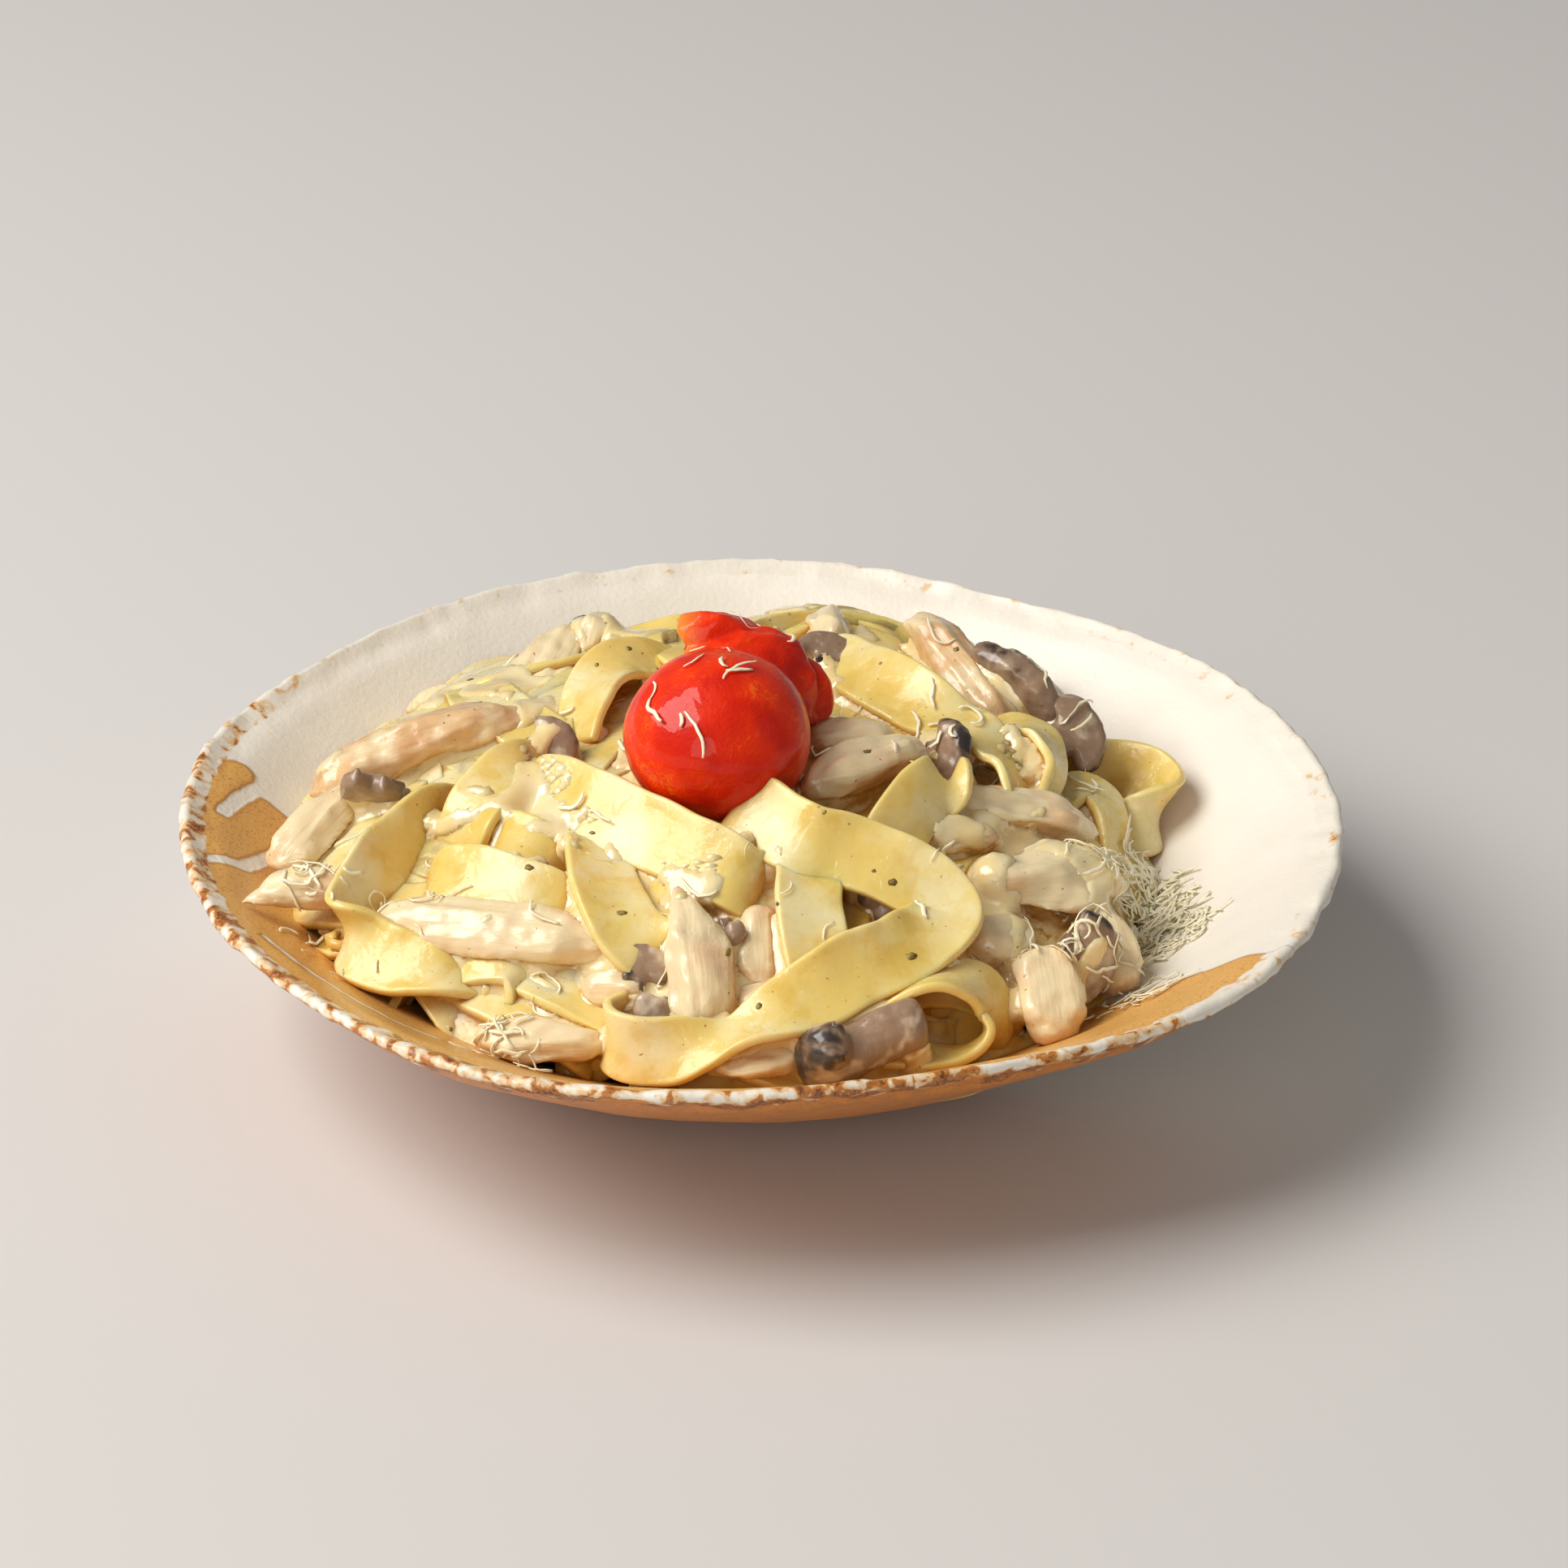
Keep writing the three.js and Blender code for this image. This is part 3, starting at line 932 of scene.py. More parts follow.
    def brown_depth(self, x: float, y: float) -> float:
        """How far a point of the wall, seen from above, lies inside the brown glaze.

        Args:
            x: The point's x.
            y: The point's y.

        Returns:
            The distance to the brown glaze's edge in millimetres, below 0 outside it.
        """
        point, start = np.array([x, y]), np.array(self.brown_from)
        along = unit(np.array(self.brown_to) - start)
        depth = float(np.dot(point - start, [along[1], -along[0]])) + 1.5 * wobble((x, y, 0), 14.0, 3.1)
        depth = max(depth, -self.off(self.knob, point))
        return min(depth, *(self.off(streak, point) for streak in self.streaks))

    def spun(self) -> bpy.types.Mesh:
        """The wall's section, spun once round the axis.

        Returns:
            The shell, with a smooth round lip.
        """
        bm = bmesh.new()
        line = [bm.verts.new((radius * MM, 0, height * MM)) for radius, height in self.section()]
        edges = [bm.edges.new(pair) for pair in zip(line, line[1:])]
        bmesh.ops.spin(
            bm, geom=[*line, *edges], cent=(0, 0, 0), axis=(0, 0, 1), dvec=(0, 0, 0),
            angle=math.tau, steps=self.turns, use_merge=True, use_duplicate=False,
        )
        bmesh.ops.remove_doubles(bm, verts=bm.verts, dist=0.001 * MM)
        bmesh.ops.recalc_face_normals(bm, faces=bm.faces)
        return mesh_from(bm)

    def build(self, finish: GlazeFinish) -> bpy.types.Object:
        """Makes the bowl.

        Args:
            finish: The glaze.

        Returns:
            The piece, which stands for the CAD bowl.
        """
        mesh = self.spun()
        points = places(mesh)
        radius = np.hypot(points[:, 0], points[:, 1])
        angle = np.arctan2(points[:, 1], points[:, 0])
        lip_middle = (self.wall[0][-1] + self.wall[1][-1]) / 2
        lip = np.hypot(radius - lip_middle[0], points[:, 2] - lip_middle[1])
        share = np.clip((radius - self.foot_outer) / (self.rim_radius - self.foot_outer), 0, 1.1)
        scale = 1 + self.waves(self.rim_lobes, angle) * share**2 / np.maximum(radius, 1)
        points[:, :2] *= np.where(radius > self.foot_outer, scale, 1)[:, None]
        points[:, 2] += self.waves(self.rim_dips, angle) * share**3
        move_to(mesh, points)
        outward = normals(mesh)
        relief = np.array([self.relief(p, near) for p, near in zip(points, lip)])
        points += outward * (relief * smoothstep(0.05, 0.3, share))[:, None]
        move_to(mesh, points)
        put_attribute(mesh, "lip", lip)
        put_attribute(mesh, "brown", np.array([self.brown_depth(x, y) for x, y, _ in points]))
        put_attribute(mesh, "foot", np.where(points[:, 2] < 6, radius - self.foot_outer - 0.5, 9.0))
        steep = normals(mesh)[:, 2]
        front_left = smoothstep(-0.35, 0.75, np.cos(angle - math.radians(-128)))
        worn = smoothstep(0.1, -0.9, steep) * smoothstep(0.3, -0.6, np.sin(angle))
        put_attribute(mesh, "flecks", -0.14 + 0.2 * front_left + 0.16 * worn)
        put_attribute(mesh, "outside", smoothstep(0.1, -0.3, steep))
        piece = new_piece("stoneware_bowl", mesh, finish.build())
        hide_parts("bowl")
        return piece

    @staticmethod
    def relief(point: np.ndarray, lip: float) -> float:
        """How far the wall stands out at a point: soft waves all over, and knife cuts at the lip.

        Args:
            point: A point of the wall.
            lip: How far it is from the lip's middle.

        Returns:
            Millimetres outwards.
        """
        soft = 0.35 * wobble(point, 22.0, 1.7) + 0.12 * wobble(point, 7.0, 4.2)
        near = float(smoothstep(7.0, 2.5, lip))
        cuts = 0.55 * wobble(point, 6.5, 8.4) + 0.35 * wobble(point, 3.2, 2.9) - 0.7
        return soft * (1 - near) + cuts * near


# --------------------------------------------------------------------------------- heap


@dataclass
class Heap:
    """The heap's outline and height, which every ribbon follows."""

    bowl: Bowl
    middle: Pair = (-2.0, 5.0)
    radius: float = 80.0
    lobes: Waves = ((1, 4, 185), (3, 2, 200), (5, 1.5, -34))
    crest: float = 49.0
    edge: float = 2.5
    shoulder: float = 2.8

    def reach(self, angle: float) -> float:
        """Distance from the heap's middle to its outline."""
        return self.radius + float(self.bowl.waves(self.lobes, angle))

    def share(self, x: float, y: float) -> float:
        """How far out a point lies, from 0 in the middle to 1 on the outline."""
        dx, dy = x - self.middle[0], y - self.middle[1]
        return math.hypot(dx, dy) / self.reach(math.atan2(dy, dx))

    def height(self, x: float, y: float) -> float:
        """Height of the heap's smooth top over the table, or of the bowl past its outline.

        Args:
            x: The point's x.
            y: The point's y.

        Returns:
            The height in millimetres.
        """
        dx, dy = x - self.middle[0], y - self.middle[1]
        angle = math.atan2(dy, dx)
        reach = self.reach(angle)
        rim_x, rim_y = self.middle[0] + reach * math.cos(angle), self.middle[1] + reach * math.sin(angle)
        low = float(self.bowl.inner_height(math.hypot(rim_x, rim_y))) + self.edge
        share = min(1.0, math.hypot(dx, dy) / reach)
        dome = low + (self.crest - low) * (1 - share**self.shoulder)
        return max(dome if share < 1 else 0.0, float(self.bowl.inner_height(math.hypot(x, y))) + 1.0)


class Lie(Enum):
    """How a ribbon of the heap lies."""

    FLAT = "flat"
    ARCH = "arch"
    ON_EDGE = "on edge"


@dataclass
class Ribbon:
    """One ribbon of pasta along a route.

    Each stop is x, y, z, then where the ribbon's width points there, as a compass angle from +X and
    an angle over the horizontal in degrees, and optionally the share of its full width.
    """

    width: float
    route: Sequence[Stop]
    cup: float = 0.10
    ruffle: float = 0.75
    step: float = 1.3
    columns: tuple[float, ...] = (-1.0, -0.9, -0.55, -0.18, 0.18, 0.55, 0.9, 1.0)

    def rows(self, seed: float) -> np.ndarray:
        """The ribbon's mid surface.

        Args:
            seed: Moves the noise, so that no two ribbons ripple alike.

        Returns:
            Points in millimetres, indexed [along, across, xyz].
        """
        stops = []
        for x, y, z, compass, tilt, *share in self.route:
            flat = math.cos(math.radians(tilt))
            aim = (flat * math.cos(math.radians(compass)), flat * math.sin(math.radians(compass)))
            stops.append([x, y, z, *aim, math.sin(math.radians(tilt)), *(share or [1.0])])
        line = spline(np.array(stops, float), self.step)
        middle, share = line[:, :3], line[:, 6]
        forward = unit(np.gradient(middle, axis=0))
        side = line[:, 3:6] - forward * np.sum(line[:, 3:6] * forward, axis=1, keepdims=True)
        side = unit(side)
        face = np.cross(forward, side)
        lengths = np.concatenate([[0], np.cumsum(np.linalg.norm(np.diff(middle, axis=0), axis=1))])
        half = self.width / 2 * share
        rows = np.empty((len(line), len(self.columns), 3))
        for i, length in enumerate(lengths):
            sway = 0.35 * wobble((length, 0, 0), 11.0, seed)
            for j, s in enumerate(self.columns):
                ripple = self.ruffle * abs(s) ** 3 * wobble((length, 9 * s, 0), 5.0, seed + 5)
                dimple = 0.22 * wobble((length, self.width / 2 * s, 0), 3.5, seed + 9)
                reach = half[i] * s * (1 + 0.06 * wobble((length, 5 * s, 0), 6.0, seed + 2))
                lift = self.cup * half[i] * (s * s - 0.4) + sway + ripple + dimple
                rows[i, j] = middle[i] + side[i] * reach + face[i] * lift
        return rows


@dataclass
class RibbonPile:
    """Several ribbons as one piece, which gets its thickness and its soft edges from modifiers."""

    name: str
    ribbons: Sequence[Ribbon]
    thickness: float = 1.75
    subdivide: int = 1
    seed: float = 0.0

    def mesh(self) -> bpy.types.Mesh:
        """The closed ribbons, with the attribute across.

        Returns:
            The mesh.
        """
        bm = bmesh.new()
        layer = bm.verts.layers.float.new("across")
        for index, ribbon in enumerate(self.ribbons):
            rows = ribbon.rows(self.seed + 3.7 * index)
            across = np.tile(ribbon.columns, len(rows))
            for vert, value in zip(grid(bm, rows * MM), across):
                vert[layer] = value
        sheet = mesh_from(bm)

        def add(carrier: bpy.types.Object) -> None:
            """Solidify, then Subdivision Surface.

            Args:
                carrier: The object that carries the mesh.
            """
            wall = carrier.modifiers.new("wall", "SOLIDIFY")
            wall.thickness = self.thickness * MM
            wall.offset = 0.0
            if self.subdivide:
                soft = carrier.modifiers.new("soft", "SUBSURF")
                soft.levels = soft.render_levels = self.subdivide

        return evaluated(sheet, add)

    def build(self, material: bpy.types.Material) -> bpy.types.Object:
        """Makes the piece, which stands for the CAD heap together with the other pile.

        Args:
            material: The pasta.

        Returns:
            The piece.
        """
        piece = new_piece(self.name, self.mesh(), material)
        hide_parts("fettuccine_heap")
        return piece


FRONT_RIBBONS: dict[str, Ribbon] = {
    "long_left": Ribbon(13.5, (
        (-41, -13, 41, 75, 20), (-40, -11, 48, 68, 38), (-31, -21, 51, 58, 46), (-20, -30, 50, 58, 46),
        (-9, -39, 49, 60, 42), (-2, -42, 46, 65, 32), (2, -37, 41, 65, 15), (2, -33, 36, 70, 10),
    )),
    "long_right": Ribbon(13.5, (
        (10, -14, 46, 90, 30), (4, -19, 50, 88, 35), (-2, -21, 53, 85, 40), (-3, -26, 54, 78, 42),
        (2, -32, 53, 72, 42), (8, -37, 52, 62, 44), (16, -38, 50, 55, 38), (23, -40, 48, 50, 32),
        (30, -43, 45, 20, 15), (33, -47, 43, 0, 0), (30, -52, 42, -30, -20), (24, -58, 41, -50, -38),
        (16, -63, 40, -58, -42), (10, -67, 38, -64, -38), (4, -70, 36.5, -74, -24, 0.88),
        (-1, -72, 34.5, -84, -10, 0.72), (-5, -73, 33, -90, -14, 0.66), (-9, -73.5, 32, -90, -36, 0.74),
        (-14, -73.5, 31, -90, -58, 0.86), (-20, -73, 30.5, -90, -72, 0.9),
        (-24, -70.5, 30.5, -100, -76, 0.9), (-25, -66, 30, -110, -78, 0.9), (-22, -62, 30, -150, -80, 0.9),
    )),
    "drop_middle": Ribbon(12, (
        (8, -29, 45, 10, -8), (9, -40, 47, 8, -10), (9, -48, 45, 5, -10), (10, -54, 42, 8, -8),
        (11, -59, 37, 8, -8), (12, -62, 31, 8, -8),
    )),
    "drop_left": Ribbon(13, (
        (-28, -27, 46, 12, -15), (-27, -38, 46, 10, -15), (-25, -46, 44, 10, -10), (-22, -51, 42, 15, 0),
        (-18, -54, 39, 32, 12), (-14, -52, 35, 50, 15),
    )),
    "loop_front": Ribbon(12, (
        (20, -60, 33, 90, 0), (25, -61, 36, 85, -6), (31, -60, 37.5, 78, -8), (37, -59, 35.5, 62, -10),
        (41, -59, 31, 54, -18), (40.5, -61.5, 27.5, 58, -22), (37, -64, 26, 75, -25), (32, -66, 26, 88, -12),
        (26, -66.5, 27, 90, 0), (20, -66, 27, 90, 4),
    )),
    "wall_left": Ribbon(13, (
        (-54, -8, 40, 200, 60), (-59, -13, 43, 210, 55), (-63, -20, 42, 195, 48), (-67, -27, 41, 195, 45),
        (-70, -33, 38, 185, 55), (-72, -40, 36, 120, 60), (-67, -46, 34, 85, 45), (-60, -50, 34, 90, 35, 0.9),
        (-53, -52, 33, 95, 22, 0.65), (-47, -50, 30, 95, 8, 0.5),
    )),
    "arch_left": Ribbon(12, (
        (-53, -21, 41, 135, 0), (-51, -18, 47, 135, 5), (-47, -12, 50, 125, 12), (-42, -5, 50, 108, 15),
        (-36, 1, 45, 95, 10),
    )),
    "band_left": Ribbon(12, (
        (-59, -30, 36, 75, 20), (-55, -32, 42, 82, 28), (-48, -37, 44, 85, 35), (-41, -41, 44, 85, 35),
        (-34, -43, 42, 80, 35), (-29, -43, 37, 80, 35),
    )),
    "fold_left": Ribbon(11, (
        (-48, -20, 41, 85, 15), (-44, -25, 46, 85, 18), (-38, -29, 46, 80, 18), (-33, -30, 41, 80, 15),
    )),
    "curl_low": Ribbon(8, (
        (-53, -48, 31, 90, 20), (-50, -50, 34, 88, 30), (-45, -51.5, 35.5, 85, 34),
        (-41.5, -52.5, 34.5, 70, 25), (-40.5, -54, 31.5, 55, 10), (-42, -54, 28, 50, 0),
    )),
    "face_low": Ribbon(12, (
        (-49, -49, 30, 50, 20), (-46, -53, 31, 50, 22), (-41, -57, 30.5, 52, 24), (-35.5, -60.5, 29, 55, 24),
        (-31, -62, 27, 60, 20), (-27, -61, 23, 60, 15),
    )),
    "edge_low": Ribbon(9, (
        (-42, -50, 31, 70, 15), (-40, -52, 33, 70, 10), (-34.7, -56, 32, 72, 5), (-29, -59, 31, 75, 10),
        (-23.3, -62, 29.8, 78, 20), (-18, -64, 28, 80, 20),
    )),
    "drip_low": Ribbon(9, (
        (-34, -45, 34, 20, 10), (-32.5, -48, 33, 20, 10), (-30.5, -51, 31, 30, 10), (-26.5, -54, 29, 45, 10),
        (-22, -57, 28, 55, 10),
    )),
    "fold_right": Ribbon(12, (
        (22, -32, 42, 0, -30), (25, -26, 48, 5, -30), (29, -20, 51, 20, -32), (33, -15, 51, 40, -25),
        (36, -11, 48, 60, -10), (38, -12, 42, 70, 0),
    )),
    "ridge_back": Ribbon(13, (
        (8, 46, 44, 80, 5), (14, 38, 50, 75, 10), (20, 29, 52, 65, 22), (28, 19, 52, 55, 35),
        (35, 12, 50, 58, 12), (41, 8, 49, 65, 0), (45, 3, 46, 72, -10), (46, -3, 43, 78, -18),
        (46, -8, 38, 80, -20),
    )),
    "arc_back": Ribbon(10, (
        (41, 18, 42, 80, -5), (46, 19, 46, 80, -8), (52, 15, 46, 75, -12), (54, 8, 43, 75, -15),
        (52, 0, 40, 75, -18), (49, -6, 36, 75, -20),
    )),
    "cup_right": Ribbon(12, (
        (56, 25, 29, 100, 35), (61, 29, 31, 95, 42), (67, 30, 31, 82, 46), (73, 27, 31, 62, 44),
        (75.5, 20, 30, 48, 38), (72, 13, 28.5, 68, 40), (66, 11, 28, 88, 42), (60, 12, 27, 95, 35),
    )),
    "small_right": Ribbon(9, (
        (55, 8, 34, 85, 5), (59, 13, 36, 85, 8), (63, 13, 35, 72, 0), (65, 6, 33, 62, -12),
        (66, -1, 27, 60, -20),
    )),
    "arch_back": Ribbon(12, (
        (-34, 12, 45, 125, -5), (-32, 19, 50, 120, -2), (-29, 27, 53, 113, 5), (-24, 33, 53, 105, 10),
        (-17, 36, 50, 95, 10), (-10, 36, 46, 95, 8),
    )),
    "band_back": Ribbon(11, (
        (-31, 55, 41, 90, 0), (-24, 56, 45, 90, 5), (-16, 56, 47, 90, 5), (-8, 56, 46, 90, 5),
        (-1, 54, 43, 90, 0),
    )),
    "top_back": Ribbon(11, (
        (2, 54, 43, 88, -5), (9, 53, 47, 86, 0), (17, 51, 48, 84, 0), (25, 48, 47, 80, -5),
        (31, 45, 42, 80, -10),
    )),
    "cream_fold": Ribbon(10, (
        (-26, -13, 46, 85, 15), (-21, -15, 50, 85, 18), (-16, -19, 52, 85, 18), (-10, -22, 50, 80, 15),
        (-5, -23, 46, 80, 10),
    )),
    "under_front": Ribbon(11, (
        (8, -70, 24, 90, 5), (16, -71, 24.5, 90, 8), (25, -70, 23.5, 90, 8), (33, -67, 22, 90, 5),
        (41, -61, 21, 90, 0),
    )),
    "hidden_fold": Ribbon(11, (
        (-23, -35, 42, 90, 15), (-19, -39, 43, 90, 18), (-13, -43, 43, 85, 18), (-8, -44, 41, 85, 15),
    )),
}


@dataclass
class Tangle:
    """The ribbons under and behind the ones in front, laid round the heap by rule."""

    heap: Heap
    count: int = 96
    seed: int = 7
    width: Pair = (10.5, 12.5)
    length: Pair = (55.0, 100.0)
    depth: float = 3.4
    lift: float = 0.8
    stops: int = 9
    inside: float = 0.94
    clearance: float = 2.6
    droop: float = 7.0

    def slope(self, x: float, y: float, compass: float) -> float:
        """The heap's slope at a point in a compass direction, as an angle in radians."""
        dx, dy = 2 * math.cos(compass), 2 * math.sin(compass)
        return math.atan2(self.heap.height(x + dx, y + dy) - self.heap.height(x - dx, y - dy), 4)

    def route(self, rng: random.Random, index: int) -> list[Stop]:
        """One ribbon's stops. Its middle is on a spiral that covers the heap evenly.

        Args:
            rng: Draws what differs from ribbon to ribbon.
            index: The ribbon's number.

        Returns:
            Stops, as Ribbon takes them.
        """
        share = math.sqrt((index + 0.5) / self.count) * 0.97
        angle = index * GOLDEN_ANGLE + rng.uniform(-0.3, 0.3)
        x = self.heap.middle[0] + share * self.heap.reach(angle) * math.cos(angle)
        y = self.heap.middle[1] + share * self.heap.reach(angle) * math.sin(angle)
        behind = float(smoothstep(12, 55, y))
        inner = behind * float(smoothstep(0.75, 0.55, share))
        lie = rng.choices(list(Lie), weights=(1.0, 0.5 * behind, 0.3 * inner))[0]
        length = rng.uniform(*self.length) * (0.6 if lie is Lie.ARCH else 1.0)
        heading = rng.uniform(0, math.tau)
        curl = rng.uniform(-0.026, 0.026)
        roll = rng.choice((-58, 58)) if lie is Lie.ON_EDGE else rng.uniform(-7, 7)
        rise = -self.depth * (1 - behind) + self.lift * behind + rng.uniform(-0.7, 0.7)
        arch = {Lie.FLAT: 0.6, Lie.ARCH: 4.5, Lie.ON_EDGE: 1.5}[lie]
        route = []
        for t in np.linspace(0, 1, self.stops):
            turn = heading + curl * length * (t - 0.5)
            here_x = x + length * (t - 0.5) * math.cos(turn)
            here_y = y + length * (t - 0.5) * math.sin(turn)
            inwards = min(1.0, self.inside / max(0.01, self.heap.share(here_x, here_y)))
            here_x = self.heap.middle[0] + (here_x - self.heap.middle[0]) * inwards
            here_y = self.heap.middle[1] + (here_y - self.heap.middle[1]) * inwards
            above = rise + arch * math.sin(math.pi * t) - self.droop * abs(2 * t - 1) ** 4
            wall = float(self.heap.bowl.inner_height(math.hypot(here_x, here_y)))
            z = max(self.heap.height(here_x, here_y) + above, wall + self.clearance)
            across = turn + math.pi / 2
            tilt = math.degrees(self.slope(here_x, here_y, across)) + roll + 5 * math.sin(5 * t + index)
            route.append((here_x, here_y, z, math.degrees(across), tilt))
        return route

    def ribbons(self) -> list[Ribbon]:
        """Draws all the ribbons.

        Returns:
            As many ribbons as count says.
        """
        rng = random.Random(self.seed)
        made = []
        for index in range(self.count):
            route = self.route(rng, index)
            width, cup = rng.uniform(*self.width), rng.uniform(-0.12, 0.12)
            made.append(Ribbon(width, route, cup=cup, step=2.0))
        return made


@dataclass
class Sauce:
    """The cream sauce: it fills the heap's inside and every crevice between ribbons and toppings.

    Each pool is x, y, radius and how much more sauce shows there, or how much less when below 0.
    """

    voxel: float = 1.0
    reach: float = 1.0
    under: float = 1.05
    film: float = 0.6
    core_voxel: float = 2.2
    core_depth: float = 3.8
    fuller_behind: float = 2.4
    behind: Pair = (25.0, 60.0)
    pools: Pools = (
        (-34, -24, 20, 0.25), (54, -24, 20, 0.5), (64, -34, 14, 0.3), (-52, 26, 24, 0.3),
        (-20, -2, 14, 0.1), (40, -40, 12, 0.35), (10, -58, 26, -0.6), (28, -45, 16, -0.5),
        (36, -62, 12, -0.8), (30, 25, 20, -0.3), (-60, -44, 16, -0.4), (-10, -56, 12, -0.6),
        (-36, -58, 16, -0.5), (50, -56, 11, -0.6), (14, -74, 14, -0.6),
        (52, 32, 17, -0.7), (22, -8, 18, -0.9), (38, 37, 14, -0.7), (-61, 14, 20, -0.7),
    )

    def over(self, point: np.ndarray) -> float:
        """How far the sauce rises at a point, above its level just under the solids.

        Args:
            point: A point of the sauce's skin.

        Returns:
            Millimetres outwards.
        """
        share = wobble(point, 13.0, 5.5) + 0.45 * wobble(point, 5.0, 2.2)
        for x, y, radius, more in self.pools:
            away = math.hypot(point[0] - x, point[1] - y)
            share += more * float(smoothstep(radius, radius * 0.4, away))
        return float(smoothstep(0.3, 0.46, share)) * (self.under + self.film)

    def core(self) -> bpy.types.Mesh:
        """The CAD heap, shrunk under its ribbons, but at the back less and there not off the bowl.

        Returns:
            The mesh that fills the heap's inside.
        """
        mesh = remeshed(cad_copy("fettuccine_heap"), self.core_voxel, 4)
        points, outward = places(mesh), normals(mesh)
        behind = smoothstep(*self.behind, points[:, 1])
        resting = smoothstep(0.3, -0.2, outward[:, 2])
        depth = (self.core_depth - self.fuller_behind * behind) * (1 - behind * resting)
        return move_to(mesh, points - outward * depth[:, None])

    def build(self, solids: Sequence[bpy.types.Mesh], finish: SauceFinish) -> bpy.types.Object:
        """Makes the sauce.

        Args:
            solids: Closed meshes that the sauce wets.
            finish: The sauce's look.

        Returns:
            The piece, a skin just under the solids that bridges the gaps narrower than twice reach.
        """
        skin = remeshed(joined([self.core(), *solids]), self.voxel)
        skin = remeshed(swollen(skin, self.reach), self.voxel)
        skin = remeshed(swollen(skin, -self.reach - self.under), self.voxel, 3)
        points = places(skin)
        rise = np.array([self.over(point) for point in points])
        move_to(skin, points + normals(skin) * rise[:, None])
        return new_piece("cream_sauce", skin, finish.build())


# ----------------------------------------------------------------------------- toppings


class Sear(Enum):
    """How a strip of chicken is cooked."""

    PALE = "pale"
    PLAIN = "plain"
    GOLDEN = "golden"


@dataclass
class Chicken:
    """The strips of breast, each grown from its CAD solid into torn, fibrous meat."""

    count: int = 25
    voxel: float = 0.75
    squareness: float = 4.0
    cuts: int = 7
    lump: float = 0.45
    groove: float = 0.4
    fibre: float = 0.15
    torn: dict[int, float] = field(default_factory=lambda: {13: 4.5, 12: 2.2, 11: 2.0, 14: 1.6})
    sears: dict[int, Sear] = field(
        default_factory=lambda: {
            **dict.fromkeys((1, 10), Sear.GOLDEN),
            **dict.fromkeys((4, 6, 7, 8, 9, 16, 17, 21), Sear.PALE),
        }
    )

    def cut(self, points: np.ndarray, rng: random.Random) -> np.ndarray:
        """Trims a strip, given in shares of its half sizes, with a few flat cuts and tears.

        Args:
            points: One row for each vertex.
            rng: Draws the cuts.

        Returns:
            The moved points.
        """
        for _ in range(self.cuts):
            facing = unit(np.array([rng.uniform(-0.45, 0.45), rng.gauss(0, 1), rng.gauss(0, 1)]))
            past = points @ facing - rng.uniform(0.70, 0.94)
            points = points - facing * (0.03 * np.logaddexp(0, past / 0.03))[:, None]
        return points

    def mesh(self, node: str, seed: float, torn: float) -> bpy.types.Mesh:
        """One strip's fine mesh.

        Args:
            node: The strip's CAD node.
            seed: Moves the noise and the cuts.
            torn: How many times as lumpy as a plain strip it is.

        Returns:
            The mesh, with the attribute grain.
        """
        mesh = remeshed(cad_copy(node), self.voxel, 5)
        points = places(mesh)
        middle, axes = principal(points)
        grain = (points - middle) @ axes.T
        half = np.abs(grain).max(axis=0)
        across = np.abs(grain[:, 1:] / half[1:])
        round_ = np.hypot(*across.T)
        square = (across**self.squareness).sum(axis=1) ** (1 / self.squareness)
        grain[:, 1:] *= (round_ / np.maximum(square, 0.05))[:, None] ** 0.7
        grain = self.cut(grain / half, random.Random(seed)) * (half + 0.5)
        move_to(mesh, grain @ axes + middle)
        shift = np.empty(len(points))
        for i, (a, b, c) in enumerate(grain):
            lumps = self.lump * torn * wobble((a / 1.5, b, c), 6.0, seed)
            lumps += 0.3 * wobble((a, b, c), 2.6, seed + 1)
            groove = max(0.0, 1 - 4 * abs(wobble((a / 7, b, c), 4.5, seed + 4)))
            fibres = self.fibre * wobble((a / 6, b, c), 1.6, seed + 6)
            shift[i] = lumps - self.groove * groove + fibres
        move_to(mesh, grain @ axes + middle + normals(mesh) * shift[:, None])
        put_attribute(mesh, "grain", grain + 20 * seed)
        return mesh

    def build(self, finishes: dict[Sear, ChickenFinish]) -> list[bpy.types.Object]:
        """Makes every strip, each in the finish of its own sear.

        Args:
            finishes: The finish for each sear.

        Returns:
            One piece for each strip.
        """
        materials = {sear: finish.build(f"chicken_{sear.value}") for sear, finish in finishes.items()}
        pieces = []
        for index in range(self.count):
            node = f"chicken_strip_{index + 1:02d}"
            seed = 1.3 * index
            sear = self.sears.get(index + 1, Sear.PLAIN)
            mesh = self.mesh(node, seed, self.torn.get(index + 1, 1.0))
            piece = new_piece(f"breast_{index + 1:02d}", mesh, materials[sear])
            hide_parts(node)
            pieces.append(piece)
        return pieces


